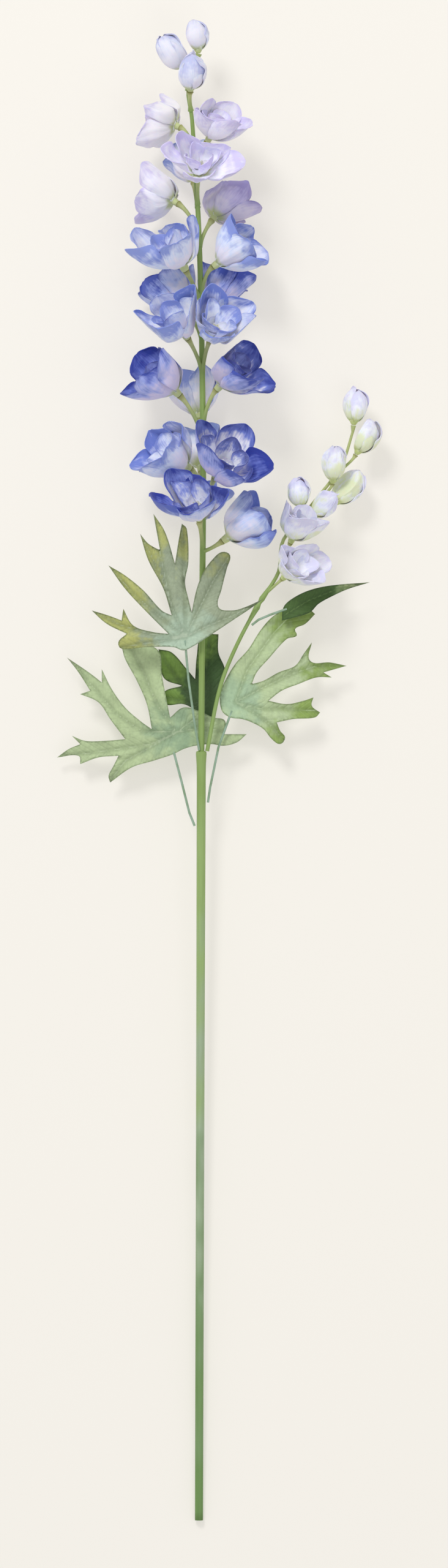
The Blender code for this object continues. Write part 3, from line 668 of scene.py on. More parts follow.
def turned_cup(profile, sides):
    """A round cup along +Z, turned from (distance, radius) steps by extruding ring after ring."""
    choose()
    distance, radius = profile[0]
    bpy.ops.mesh.primitive_circle_add(
        vertices=sides, radius=radius, fill_type="NGON", location=(0, 0, distance))
    cup = bpy.context.object
    bpy.ops.object.transform_apply(location=True)
    bpy.ops.object.mode_set(mode="EDIT")
    bpy.ops.mesh.select_all(action="SELECT")
    for (low, narrow), (high, wide) in zip(profile, profile[1:]):
        bpy.ops.mesh.extrude_region_move(TRANSFORM_OT_translate={"value": (0, 0, high - low)})
        widening = wide / narrow
        bpy.ops.transform.resize(value=(widening, widening, 1), center_override=(0, 0, high))
    face_outwards()
    layer = cup.data.uv_layers.get("UVMap") or cup.data.uv_layers.new(name="UVMap")
    for loop in cup.data.loops:
        place = cup.data.vertices[loop.vertex_index].co
        swing = math.atan2(place.y, place.x)
        # The print runs along the cup, and sways five times as it goes round
        layer.data[loop.index].uv = (0.5 + 0.12 * math.sin(5 * swing), place.z)
    mark(cup, "own", 0.5)
    return cup


def rod(points, radii, sides):
    """A closed round rod along the points, and for each corner its share of the way along."""
    choose()
    curve = bpy.data.curves.new("rod", "CURVE")
    curve.dimensions = "3D"
    curve.bevel_depth = 1.0
    # A bevel's resolution is how many corners half of the round has, less two
    curve.bevel_resolution = sides // 2 - 2
    curve.use_fill_caps = True
    spline = curve.splines.new("POLY")
    spline.points.add(len(points) - 1)
    for place, point, radius in zip(spline.points, points, radii):
        place.co = (*point, 1)
        place.radius = radius
    obj = bpy.data.objects.new("rod", curve)
    bpy.context.scene.collection.objects.link(obj)
    choose(obj)
    bpy.ops.object.convert(target="MESH")
    bpy.ops.object.mode_set(mode="EDIT")
    bpy.ops.mesh.select_all(action="SELECT")
    bpy.ops.mesh.remove_doubles(threshold=1e-7)
    face_outwards()
    made = bpy.context.object
    path = np.array([tuple(point) for point in points])
    nearest = np.linalg.norm(corners(made)[:, None] - path[None], axis=2).argmin(axis=1)
    mark(made, "climb", nearest / (len(points) - 1))
    return made


def thickened(piece, thickness):
    """Gives flat cloth its thickness, and marks the side that faces into the flower."""
    count = len(piece.data.vertices)
    solid = piece.modifiers.new("Cloth", "SOLIDIFY")
    solid.thickness = thickness
    solid.offset = 0
    choose(piece)
    bpy.ops.object.modifier_apply(modifier=solid.name)
    mark(piece, "inside", np.arange(len(piece.data.vertices)) >= count)
    return piece


# Petals

def curled(blank, plan, layer, length, leans, turn, nest, pale=0.0, closing=0.0):
    """One petal: a copy of its blank bent along, cupped across, waved and rolled at its margin,
    and set in its place in the flower."""
    sizes = bpy.context.scene.delphinium_sizes
    origin, forward, up = (np.array(part) for part in nest.frame)
    side = np.cross(forward, up)
    away = up * math.cos(turn) + side * math.sin(turn)
    across = side * math.cos(turn) - up * math.sin(turn)
    flat = corners(blank)
    share = (flat[:, 1] + 1) / 2
    breadth = np.interp(share, *zip(*plan.breadths))
    u = flat[:, 0] / breadth
    v = share - plan.tip_drop * u**2 * share**4
    phase, beat, lift, tip_roll, side_roll, close = (nest.hand.random() for _ in range(6))
    # Bent from its root's lean to its tip's on one arc, and cupped across on another
    root_lean, tip_lean = leans
    tip_lean -= closing * (1.6 * close - 0.6)
    bend = tip_lean - root_lean
    lean = root_lean + bend * v
    out = length * (layer.root + (math.cos(root_lean) - np.cos(lean)) / bend)
    ahead = length * (layer.ahead + (np.sin(lean) - math.sin(root_lean)) / bend)
    cup = math.radians(layer.cup) * CUP_DEPTH
    half_width = layer.width * length / 2
    swing = flat[:, 0] * cup
    sideways = half_width / cup * np.sin(swing)
    raised = half_width / cup * (1 - np.cos(swing)) + layer.twist * sideways

    # A waving margin, a keel down the middle, pleats, a rolled tip and sides, and a notch
    margin = np.abs(u) ** 1.7 * smooth_step(v, 0.12, 0.75)
    waves = np.sin(2 * math.pi * ((1.2 + beat) * v + phase) + (u > 0) * (1.6 + 2.4 * lift))
    raised += sizes.petal_wave * length * margin * waves
    keel = np.exp(-((u / KEEL_BREADTH) ** 2)) * np.sin(math.pi * np.clip(v, 0, 1))
    raised -= sizes.petal_keel * length * keel
    pleats = np.cos(math.pi * (3 + 2 * lift) * u + 5 * phase)
    pleats *= smooth_step(v, 0.1, 0.5) * (1 - smooth_step(v, 0.75, 1.0))
    raised += PLEAT_DEPTH * length * pleats
    roll = sizes.petal_roll * plan.roll * (tip_roll - 0.35)
    raised -= roll * length * smooth_step(v, 0.68, 1.0) ** 1.5
    rolled = smooth_step(np.abs(u), 0.7, 1.0) * smooth_step(v, 0.3, 0.6)
    raised -= SIDE_ROLL * (side_roll - 0.4) * length * rolled
    notch = np.exp(-((u / NOTCH_BREADTH) ** 2)) * smooth_step(v, 0.86, 1.0) * (lift - 0.3)
    notch *= NOTCH_DEPTH * length
    out = out - notch * np.sin(lean)
    ahead = ahead - notch * np.cos(lean)

    inward = np.outer(np.sin(lean), forward) - np.outer(np.cos(lean), away)
    places = (
        origin + np.outer(out, away) + np.outer(ahead, forward) + np.outer(sideways, across)
        + inward * raised[:, None]
    )
    piece = copied(blank)
    move_corners(piece, pressed(places, nest.walls))
    mark(piece, "own", nest.hand.random())
    mark(piece, "pale", pale)
    return piece


def petals(blank, plan, flower, layer, leans, nest, draw, start, pale, closing):
    """A layer of petals from a blank, at the turns and lengths that draw gives: the solids' own,
    for the layers that they have."""
    pieces = []
    _, forward, up = nest.frame
    above = math.atan2(forward.cross(up).z, up.z)
    for k in range(layer.count):
        nudge = [draw.uniform(-JITTER, JITTER) for _ in range(3)]
        turn = above + 2 * math.pi * (k + start) / layer.count + nudge[0]
        length = layer.length * flower.length * draw.uniform(*LENGTH_RANGE)
        nudged = (leans[0] + nudge[1], leans[1] + 2 * nudge[2])
        pieces.append(curled(blank, plan, layer, length, nudged, turn, nest, pale, closing))
    return pieces


def placed_copy(model, flower, frame, walls, spin=0.0):
    """A copy of a unit model, scaled to its flower and turned to face as it does."""
    origin, forward, up = frame
    turn = Matrix.Rotation(spin, 4, "Z")
    side = up.cross(forward)
    place = Matrix((side, up, forward)).transposed().to_4x4()
    place.translation = origin
    piece = copied(model)
    piece.data.transform(place @ Matrix.Scale(flower.length, 4) @ turn)
    move_corners(piece, pressed(corners(piece), walls))
    return piece


def flower_piece(flower, route, crowd, kind, blank, body, materials):
    """One flower or bud: its layers of curled petals round its turned throat or heart."""
    thickness = bpy.context.scene.delphinium_sizes.petal_cloth
    draw = random.Random(flower.name)
    hand = random.Random(flower.name + " cloth")
    walls = walls_of(flower, route, crowd, thickness)
    nest = Nest(flower_frame(flower, route), walls, hand)
    spread = 1.0 if kind is CLOSED_BUD else math.radians(flower.spread)
    blades = []
    for k, (layer, pale, closing) in enumerate(kind.layers):
        leans = [spread * lean for lean in layer.leans]
        numbers = hand if layer is BUD_FILL else draw
        blades += petals(blank, kind.plan, flower, layer, leans, nest, numbers, flower.front + k / 2,
                         pale, math.radians(closing))
    cloth = thickened(joined(blades), thickness)
    cup = placed_copy(body, flower, nest.frame, walls)
    return finished(joined([cloth, cup]), flower.name + "_petals", flower.name, materials)


def make_flowers(members, kind):
    """Makes those flowers, each in its own print, from a blank and a body that are modelled once."""
    blank, body = cut_blank(kind.plan), turned_cup(kind.body, kind.sides)
    prints = {}
    crowd = whole_crowd()
    for flower, route in crowd:
        if flower in members:
            print_name = PRINT_OF.get(flower.name, flower.tint)
            if print_name not in prints:
                prints[print_name] = petal_cloth(print_name)
            flower_piece(flower, route, crowd, kind, blank, body, [prints[print_name]])
    for model in (blank, body):
        bpy.data.objects.remove(model)


def tuft_model():
    """The pale tuft of a flower, modelled once at unit size: small lobes round fine filaments."""
    hand = random.Random("tuft")
    blank = cut_blank(TUFT_BLANK)
    nest = Nest((Vector(), Vector((0, 0, 1)), Vector((0, 1, 0))), (), hand)
    root_lean, tip_leans = TUFT_LOBE.leans
    lobes = []
    for k in range(TUFT_LOBE.count):
        turn = 2 * math.pi * k / TUFT_LOBE.count + hand.uniform(-TUFT_JITTER, TUFT_JITTER)
        leans = (math.radians(root_lean), math.radians(hand.uniform(*tip_leans)))
        length = TUFT_LOBE.length * hand.uniform(*TUFT_LENGTHS)
        lobes.append(curled(blank, TUFT_BLANK, TUFT_LOBE, length, leans, turn, nest, pale=1.0))
    bpy.data.objects.remove(blank)
    pieces = [thickened(joined(lobes), TUFT_CLOTH)]
    for k in range(FILAMENTS):
        swing = FILAMENT_SWING * k
        reach = FILAMENT_REACH[0] + FILAMENT_REACH[1] * k
        height = hand.uniform(*FILAMENT_HEIGHTS)
        aim = Vector((math.cos(swing), math.sin(swing), 0))
        points = [
            aim * reach * out + Vector((0, 0, height * share + rise))
            for out, share, rise, _ in FILAMENT_PATH]
        pieces.append(rod(points, [row[-1] for row in FILAMENT_PATH], sides=6))
    heights, radii = zip(*TUFT_FOOT)
    pieces.append(rod([Vector((0, 0, z)) for z in heights], radii, sides=12))
    return joined(pieces)


# Leaves

def smoothed(outline, step):
    """A leaf's outline drawn through its points in smooth curves, with its sharp tips kept."""
    count = len(outline)
    points = np.array(outline, float)
    before, after = np.roll(points, 1, axis=0), np.roll(points, -1, axis=0)
    back, on = before - points, after - points
    cosine = (back * on).sum(axis=1) / np.linalg.norm(back, axis=1) / np.linalg.norm(on, axis=1)
    sharp = cosine > math.cos(math.radians(85))
    found = []
    for k in range(count):
        start, end = points[k], points[(k + 1) % count]
        run = end - start
        leave = run if sharp[k] else (after[k] - before[k]) / 2
        arrive = run if sharp[(k + 1) % count] else (after[(k + 1) % count] - start) / 2
        leave = leave / np.linalg.norm(leave) * np.linalg.norm(run)
        arrive = arrive / np.linalg.norm(arrive) * np.linalg.norm(run)
        pieces = max(2, round(np.linalg.norm(run) / step))
        for i in range(pieces):
            found.append(hermite(start, leave, end, arrive, i / pieces))
    return np.array(found)


def beside(places, line):
    """For each place: how far it is from a bent line, how far along the line that is, its side
    of the line, and the line's length."""
    best = np.full(len(places), 1e9)
    along = np.zeros(len(places))
    hand = np.ones(len(places))
    run = 0.0
    for start, end in zip(line, line[1:]):
        step = end - start
        size = np.linalg.norm(step)
        share = np.clip((places - start) @ step / size**2, 0, 1)
        gap = places - (start + share[:, None] * step)
        distance = np.linalg.norm(gap, axis=1)
        nearer = distance < best
        best = np.where(nearer, distance, best)
        along = np.where(nearer, run + share * size, along)
        hand = np.where(nearer, np.sign(step[0] * gap[:, 1] - step[1] * gap[:, 0]), hand)
        run += size
    return best, along, hand, run


def leaf_slab(outline):
    """A flat slab of cloth in a leaf's outline: a fine grid, thickened, and cut to a block of it."""
    sizes = bpy.context.scene.delphinium_sizes
    choose()
    bpy.ops.mesh.primitive_circle_add(vertices=len(outline), radius=1, fill_type="NGON")
    cutter = bpy.context.object
    foot = np.full(len(outline), -CUTTER_HEIGHT / 2)
    move_corners(cutter, np.column_stack((outline * MM, foot)))
    bpy.ops.object.mode_set(mode="EDIT")
    bpy.ops.mesh.select_all(action="SELECT")
    bpy.ops.mesh.extrude_region_move(TRANSFORM_OT_translate={"value": (0, 0, CUTTER_HEIGHT)})
    bpy.ops.mesh.select_all(action="SELECT")
    bpy.ops.mesh.quads_convert_to_tris()
    face_outwards()

    low, high = outline.min(axis=0) * MM - SLAB_MARGIN, outline.max(axis=0) * MM + SLAB_MARGIN
    cells = [round(size / sizes.leaf_cell) for size in high - low]
    choose()
    bpy.ops.mesh.primitive_grid_add(x_subdivisions=cells[0], y_subdivisions=cells[1], size=1)
    slab = bpy.context.object
    move_corners(slab, corners(slab) * (*(high - low), 1) + (*((low + high) / 2), 0))
    for kind, settings in (
        ("SOLIDIFY", {"thickness": sizes.leaf_cloth, "offset": 0}),
        ("BOOLEAN", {"object": cutter, "operation": "INTERSECT", "solver": "MANIFOLD"}),
    ):
        step = slab.modifiers.new(kind.capitalize(), kind)
        for name, value in settings.items():
            setattr(step, name, value)
        choose(slab)
        bpy.ops.object.modifier_apply(modifier=step.name)
    bpy.data.objects.remove(cutter)
    return slab


def leaf_blade(plan):
    """A leaf's blade: its slab arched, folded along its veins and waved at its margin."""
    sizes = bpy.context.scene.delphinium_sizes
    outline = smoothed(plan.outline, OUTLINE_STEP)
    blade = leaf_slab(outline)
    places = corners(blade)
    flat = places[:, :2] / MM
    lines = [beside(flat, np.array(line, float)) for line in plan.veins]
    nearest = np.argmin([line[0] for line in lines], axis=0)
    found = np.array([[np.broadcast_to(value, len(flat)) for value in line] for line in lines])
    vein, along, hand, length = found[nearest, :, np.arange(len(flat))].T
    edge = beside(flat, np.vstack((outline, outline[:1])))[0]
    away = flat - plan.palm
    reach = np.linalg.norm(away, axis=1)
    height = (
        plan.height + plan.tilt[0] * away[:, 0] + plan.tilt[1] * away[:, 1] - plan.droop * reach**2
    ) * MM
    fold = 1 - np.exp(-((vein / FOLD_REACH) ** 1.5)) - 0.45
    height += sizes.leaf_fold * fold * smooth_step(reach, 2, 14)
    seed = sum(map(ord, plan.name))
    ripple = np.sin(along / 5.3 + hand * 1.3 + seed) + 0.6 * np.sin(along / 2.9 + 2 * hand + seed)
    ripple *= smooth_step(-edge, -WAVE_REACH, 0) * smooth_step(reach, 8, 22)
    height += sizes.leaf_wave * ripple
    height -= GROOVE_DEPTH * np.exp(-((vein / GROOVE_REACH) ** 2)) * smooth_step(edge, 0.3, 1.2)
    move_corners(blade, np.column_stack((
        STEM_X + places[:, 0], CUT_END_Y + places[:, 1], height + places[:, 2])))
    mark(blade, "vein", vein)
    mark(blade, "side_vein", along - 1.25 * vein)
    mark(blade, "edge", edge)
    mark(blade, "reach", reach)
    mark(blade, "tip", along / length)
    return blade


# Stems

def bent(start, through, end, shares):
    """Points on the curve from start to end that leans towards the middle point."""
    return [start * (1 - t) ** 2 + through * 2 * t * (1 - t) + end * t**2 for t in shares]


def stalk(flower, route, radii):
    """A flower's stalk, from the middle of the stem, flared into the seat that carries the flower."""
    end = seat(flower, route)
    root = axis_point(route, flower.along - flower.drop)
    through = end - facing(flower) * flower.reach * STALK_TURN
    shares = [i / STALK_STEPS for i in range(STALK_STEPS + 1)]
    widths = [float(np.interp(t, *zip(*radii))) for t in shares]
    return rod(bent(root, through, end, shares), widths, STALK_SIDES)


def stem(node, route, extra, flowers, radii, step, sides, pales, material):
    """An axis with its flower stalks: a moulded rod, with the ring where its sheath ends. It takes
    the stalks' pale colour between the two distances of pales."""
    stops, sizes = zip(*sorted([(row[0], row[3]) for row in route] + list(extra)))
    length = stops[-1] - stops[0]
    count = math.ceil(length / step)
    alongs = sorted({*stops, *(stops[0] + length * i / count for i in range(count))})
    axis = rod(
        [axis_point(route, along) for along in alongs],
        [float(np.interp(along, stops, sizes)) for along in alongs], sides)
    mark(axis, "climb", AXIS_PALENESS * smooth_step(corners(axis)[:, 1] - CUT_END_Y, *pales))
    piece = joined([axis, *(stalk(flower, route, radii) for flower in flowers if flower.reach)])
    places = corners(piece)
    places[:, 2] = np.maximum(places[:, 2], 0)
    move_corners(piece, places)
    return finished(piece, node + "_moulding", node, [material], 40)


# Materials

def add_node(tree, kind, inputs=(), output=0, stops=(), **settings):
    """Adds a shader node with its settings, its ramp's stops and its inputs, which are given in
    order or by name, and gives back one output."""
    node = tree.nodes.new("ShaderNode" + kind)
    for name, value in settings.items():
        setattr(node, name, value)
    for k, (place, colour) in enumerate(stops):
        elements = node.color_ramp.elements
        if k == 0:
            elements.remove(elements[-1])
            elements[0].position, elements[0].color = place, colour
        else:
            elements.new(place).color = colour
    for socket, value in inputs.items() if isinstance(inputs, dict) else enumerate(inputs):
        if isinstance(value, bpy.types.NodeSocket):
            tree.links.new(value, node.inputs[socket])
        else:
            node.inputs[socket].default_value = value
    return node.outputs[output] if node.outputs else node


def varied(tree, value, noise, amount):
    """A value that a noise around 0.5 moves up and down, by that amount in all."""
    swing = add_node(tree, "Math", [noise, 0.5], operation="SUBTRACT")
    return add_node(tree, "Math", [swing, amount, value], operation="MULTIPLY_ADD")


def washed(tree, colour, *washes):
    """A colour under washes of others. Each is given by the value it follows, where it starts and
    ends, how strong it is at each of these, and its own colour."""
    for *fade, wash in washes:
        share = add_node(tree, "MapRange", fade, interpolation_type="SMOOTHSTEP")
        colour = add_node(tree, "Mix", {0: share, 6: colour, 7: wash}, output=2, data_type="RGBA")
    return colour


def finish_of(name, build):
    """A material: build adds its nodes to the empty tree and gives the shader's inputs."""
    material = bpy.data.materials.new(name)
    material.use_nodes = True
    tree = material.node_tree
    tree.nodes.clear()
    shader = add_node(tree, "BsdfPrincipled", build(tree))
    add_node(tree, "OutputMaterial", {"Surface": shader})
    return material


def panel_colours(*names):
    """The colours that the panel holds under those names."""
    colours = bpy.context.scene.delphinium_colours
    return [tuple(getattr(colours, name)) for name in names]


def petal_cloth(print_name):
    """Printed polyester petal cloth, pressed into cups: matt and a little velvety, its dye drawn
    along the petal in fine streaks, white or green at the root."""
    root, middle, edge, inner_middle, inner_edge = panel_colours(
        *(f"{print_name}_{stop}" for stop in PRINT_STOPS))
    green, white = panel_colours("root_green", "petal_white")

    def build(tree):
        across = add_node(tree, "SeparateXYZ", [add_node(tree, "UVMap", uv_map="UVMap")])
        along = across.node.outputs[1]
        own, pale, inside = (
            add_node(tree, "Attribute", output=2, attribute_name=name)
            for name in ("own", "pale", "inside"))
        # Streaks of dye about 0.8 mm wide on a petal 24 mm wide, drawn out ten times as long, and
        # patches of 6 to 8 mm where the dye took more or less
        streaks, patches = (
            add_node(tree, "TexNoise", {
                "Vector": add_node(tree, "CombineXYZ", [
                    add_node(tree, "Math", [value, scale], operation="MULTIPLY")
                    for value, scale in zip((across, along, own), scales)]),
                "Scale": 1.0, "Detail": detail, "Roughness": roughness,
            })
            for scales, detail, roughness in (
                ((26.0, 3.2, 60.0), 3.0, 0.6), ((3.4, 4.2, 95.0), 2.0, 0.5)))
        sideways = add_node(tree, "Math", [across, 2.0, -1.0], operation="MULTIPLY_ADD")
        sideways = add_node(tree, "Math", [sideways], operation="ABSOLUTE")
        margin = add_node(tree, "Math", [sideways, 3.0], operation="POWER")
        depth = add_node(tree, "Math", [margin, 0.24, along], operation="MULTIPLY_ADD")
        for noise, amount in ((streaks, 0.50), (patches, 1.05), (own, 0.44)):
            depth = varied(tree, depth, noise, amount)
        outer, inner = (
            add_node(tree, "ValToRGB", [depth], stops=list(zip(places, colours)))
            for places, colours in (
                ((0.0, 0.34, 0.68, 1.0), (root, root, middle, edge)),
                ((0.0, 0.40, 0.64, 1.0), (white, white, inner_middle, inner_edge))))
        whitened = add_node(tree, "Math", [pale, 0.82], operation="MULTIPLY")
        cloth = outer
        for share, colour in ((inside, inner), (whitened, white)):
            cloth = add_node(tree, "Mix", {0: share, 6: cloth, 7: colour}, output=2, data_type="RGBA")
        # The root takes the green of its seat, over 4 mm, and the cut edge has a fine darker line
        rim = add_node(tree, "Math", [sideways, along], operation="MAXIMUM")
        cloth = washed(
            tree, cloth, (varied(tree, along, patches, 0.16), 0.05, 0.22, 0.85, 0.0, green),
            (rim, 0.955, 0.99, 0.0, 0.35, inner_edge))
        lightness = add_node(tree, "Math", [own, 0.12, 0.98], operation="MULTIPLY_ADD")
        cloth = add_node(tree, "HueSaturation", {"Value": lightness, "Color": cloth})
        # The real weave is 0.25 mm apart; it is drawn at 0.7 mm so that it shows
        weave = add_node(tree, "Math", [
            add_node(tree, "Math", [
                add_node(tree, "Math", [value, scale], operation="MULTIPLY")], operation="SINE")
            for value, scale in ((across, 215.0), (along, 290.0))], operation="MULTIPLY")
        relief = add_node(tree, "Math", [weave, 0.10, streaks], operation="MULTIPLY_ADD")
        return {
            "Base Color": cloth, "Roughness": 0.66, "Sheen Weight": 0.22, "Sheen Roughness": 0.45,
            "Specular IOR Level": 0.30, "Subsurface Weight": 0.10, "Subsurface Scale": 0.0012,
            "Normal": add_node(tree, "Bump", {"Strength": 0.35, "Distance": 0.0006, "Height": relief}),
        }

    return finish_of("printed_petal_cloth_" + print_name, build)


def tuft_cloth():
    """Flocked polyester tuft: chalk white, with a breath of yellow-green at its root."""
    chalk, root = panel_colours("tuft", "tuft_base")

    def build(tree):
        climb = add_node(tree, "Attribute", output=2, attribute_name="climb")
        place = add_node(tree, "TexCoord", output=3)
        # Fluff in clumps of about 0.6 mm
        fluff = add_node(tree, "TexNoise", {"Vector": place, "Scale": 1600.0, "Detail": 3.0})
        share = add_node(tree, "Math", [fluff, 0.6, climb], operation="MULTIPLY_ADD")
        cloth = add_node(tree, "ValToRGB", [share], stops=((0.25, chalk), (0.9, chalk), (1.0, root)))
        return {
            "Base Color": cloth, "Roughness": 0.9, "Sheen Weight": 0.4, "Sheen Roughness": 0.5,
            "Specular IOR Level": 0.2,
            "Normal": add_node(tree, "Bump", {"Strength": 0.4, "Distance": 0.0003, "Height": fluff}),
        }

    return finish_of("flocked_polyester_tuft", build)


def moulded_stem():
    """Moulded polyethylene over wire, sprayed in greens: a low satin gloss, faint flow lines along
    it and soft bands where the spray overlaps."""
    base, foot, lower, middle, head, end, pale, olive = panel_colours(
        "stem_base", "stem_foot", "stem_lower", "stem_middle", "stem_head", "stem_end", "stalk",
        "root_olive")

    def build(tree):
        place = add_node(tree, "TexCoord", output=3)
        height = add_node(tree, "SeparateXYZ", [place], output=1)
        climb = add_node(tree, "Attribute", output=2, attribute_name="climb")
        # Flow lines about 0.6 mm apart round the stem and 20 mm long, and bands of spray 40 to
        # 60 mm long
        lines, bands = (
            add_node(tree, "TexNoise", {
                "Vector": add_node(tree, "Mapping", {"Vector": place, "Scale": scale}),
                "Scale": 1.0, "Detail": detail,
            })
            for scale, detail in (((900.0, 28.0, 900.0), 3.0), ((60.0, 21.0, 60.0), 2.0)))
        share = add_node(tree, "MapRange", [height, CUT_END_Y, CUT_END_Y + 0.88])
        green = add_node(tree, "ValToRGB", [varied(tree, share, bands, 0.55)], stops=(
            (0.0, base), (0.16, foot), (0.26, lower), (0.42, middle), (0.60, head)))
        green = washed(tree, green, (height, CUT_END_Y + 0.0005, CUT_END_Y + 0.006, 0.75, 0.0, end))
        to_stalk = add_node(tree, "ValToRGB", [climb], stops=[
            (at, (grey, grey, grey, 1)) for at, grey in ((0.0, 0.0), (0.55, 0.55), (0.86, 0.9))])
        to_seat = add_node(tree, "MapRange", [climb, 0.84, 1.0, 0.0, 0.7])
        for share, colour in ((to_stalk, pale), (to_seat, olive)):
            green = add_node(tree, "Mix", {0: share, 6: green, 7: colour}, output=2, data_type="RGBA")
        lightness = add_node(tree, "Math", [lines, 0.30, 0.86], operation="MULTIPLY_ADD")
        green = add_node(tree, "HueSaturation", {"Value": lightness, "Color": green})
        return {
            "Base Color": green, "Roughness": 0.52, "Specular IOR Level": 0.42,
            "Normal": add_node(tree, "Bump", {"Strength": 0.3, "Distance": 0.0002, "Height": lines}),
        }

    return finish_of("sprayed_polyethylene_stem", build)


def leaf_cloth(leaf_name):
    """Printed polyester leaf cloth pressed over a vein mould: matt, mottled like a watercolour,
    with pale veins, a darker cut edge and painted shade in the creases along its main veins."""
    palm, blade, tip, vein, edge = panel_colours(*(f"{leaf_name}_{stop}" for stop in LEAF_STOPS))
    sunny = SUNNY_SIDE.get(leaf_name, 0.0)

    def build(tree):
        place = add_node(tree, "TexCoord", output=3)
        from_vein, side_vein, from_edge, reach, share = (
            add_node(tree, "Attribute", output=2, attribute_name=name)
            for name in ("vein", "side_vein", "edge", "reach", "tip"))
        # Washes of dye 8 mm across, and specks of 1.5 mm in them
        washes = add_node(tree, "TexNoise", {"Vector": place, "Scale": 125.0, "Detail": 2.0})
        specks = add_node(tree, "TexNoise", {"Vector": place, "Scale": 620.0, "Detail": 3.0})
        tipped = add_node(tree, "Math", [
            add_node(tree, "SeparateXYZ", [place]), sunny, varied(tree, share, washes, 0.9),
        ], operation="MULTIPLY_ADD")
        # Side veins every 4.5 mm, 0.5 mm wide
        beat = add_node(tree, "Math", [side_vein, 4.5], operation="MODULO")
        beat = add_node(tree, "Math", [beat, 2.25], operation="SUBTRACT")
        beat = add_node(tree, "Math", [beat], operation="ABSOLUTE")
        green = washed(
            tree, palm,
            (varied(tree, reach, washes, 34.0), 5.0, 24.0, 0.0, 1.0, blade),
            (tipped, 0.74, 1.15, 0.0, 0.85, tip),
            # painted shade: the edge colour darkens the blade within 2.4 mm of each main vein, in the
            # crease that the fold presses there
            (from_vein, 0.4, 2.4, 0.36, 0.0, edge),
            (beat, 0.15, 0.6, 0.06, 0.0, vein),
            (from_vein, 0.12, 0.60, 0.40, 0.0, vein),
            (varied(tree, from_edge, specks, 1.6), 0.15, 1.15, 0.66, 0.0, edge))
        mottle = add_node(tree, "Math", [washes, specks], operation="ADD")
        lightness = add_node(tree, "Math", [mottle, 0.42, 0.58], operation="MULTIPLY_ADD")
        green = add_node(tree, "HueSaturation", {"Value": lightness, "Color": green})
        ribs = add_node(tree, "MapRange", [beat, 0.0, 1.4], interpolation_type="SMOOTHSTEP")
        relief = add_node(tree, "Math", [specks, 0.35, ribs], operation="MULTIPLY_ADD")
        return {
            "Base Color": green, "Roughness": 0.62, "Sheen Weight": 0.12, "Sheen Roughness": 0.5,
            "Specular IOR Level": 0.35,
            "Normal": add_node(tree, "Bump", {"Strength": 0.4, "Distance": 0.0004, "Height": relief}),
        }

    return finish_of("printed_leaf_cloth_" + leaf_name, build)


def leaf_wire():
    """Wire stalk in a pale green plastic skin: smooth, satin, a little uneven where it was dipped."""
    thin, thick = panel_colours("leaf_stalk_thin", "leaf_stalk")

    def build(tree):
        place = add_node(tree, "TexCoord", output=3)
        # Thick and thin places of the skin, 5 mm apart
        skin = add_node(tree, "TexNoise", {"Vector": place, "Scale": 200.0, "Detail": 2.0})
        return {
            "Base Color": add_node(tree, "ValToRGB", [skin], stops=((0.3, thin), (0.7, thick))),
            "Roughness": 0.48,
            "Normal": add_node(tree, "Bump", {"Strength": 0.2, "Distance": 0.0002, "Height": skin}),
        }

    return finish_of("dipped_wire_stalk", build)


def studio_paper():
    """Matt cream studio paper: even, without gloss, its tooth too fine to see but for a breath."""
    (cream,) = panel_colours("floor")

    def build(tree):
        place = add_node(tree, "TexCoord", output=3)
        tooth = add_node(tree, "TexNoise", {"Vector": place, "Scale": 900.0, "Detail": 2.0})
        lightness = add_node(tree, "Math", [tooth, 0.01, 0.475], operation="MULTIPLY_ADD")
        # It glows a little, as if lit from behind, so that shadows on it stay faint
        return {
            "Base Color": add_node(tree, "HueSaturation", {"Value": lightness, "Color": cream}),
            "Roughness": 0.95, "Specular IOR Level": 0.1,
            "Emission Color": cream, "Emission Strength": 0.52,
        }

    return finish_of("cream_studio_paper", build)


# Operators

class DELPHINIUM_OT_stems(bpy.types.Operator):
    """Moulds the main stem and the side shoot, with their stalks"""

    bl_idname = "delphinium.stems"
    bl_label = "Stems"

    def execute(self, context):
        green = moulded_stem()
        stem("main_stem", STEM_ROUTE, STEM_EXTRA, [*BLOOMS, *TIP_BUDS], STALK_RADII,
             step=0.005, sides=18, pales=(0.84, 0.90), material=green)
        stem("side_stem", SHOOT_ROUTE, SHOOT_EXTRA, [*SHOOT_BLOOMS, *SHOOT_BUDS], SHOOT_STALK_RADII,
             step=0.004, sides=14, pales=(0.55, 0.60), material=green)
        return {"FINISHED"}


class DELPHINIUM_OT_leaves(bpy.types.Operator):
    """Cuts the five palmate leaves and gives them their wire stalks"""

    bl_idname = "delphinium.leaves"
    bl_label = "Leaves"

    def execute(self, context):
        radius = context.scene.delphinium_sizes.leaf_stalk
        wire = leaf_wire()
        for plan in LEAVES:
            blade = leaf_blade(plan)
            points = [Vector((STEM_X + x * MM, CUT_END_Y + y * MM, z * MM)) for x, y, z in plan.stalk]
            shares = [i / LEAF_STALK_STEPS for i in range(LEAF_STALK_STEPS)]
            route = [a * (1 - t) + b * t for a, b in zip(points, points[1:]) for t in shares]
            route.append(points[-1])
            stalk_rod = rod(route, [radius] * len(route), LEAF_STALK_SIDES)
            for piece, material in ((blade, leaf_cloth(plan.name)), (stalk_rod, wire)):
                piece.data.materials.clear()
                piece.data.materials.append(material)
            finished(joined([blade, stalk_rod]), plan.name + "_cloth", plan.name, (), 40)
        return {"FINISHED"}


class DELPHINIUM_OT_flowers(bpy.types.Operator):
    """Makes the open flowers of the head and of the side spray"""

    bl_idname = "delphinium.flowers"
    bl_label = "Open flowers"

    def execute(self, context):
        make_flowers((*BLOOMS, *SHOOT_BLOOMS), OPEN_FLOWER)
        return {"FINISHED"}


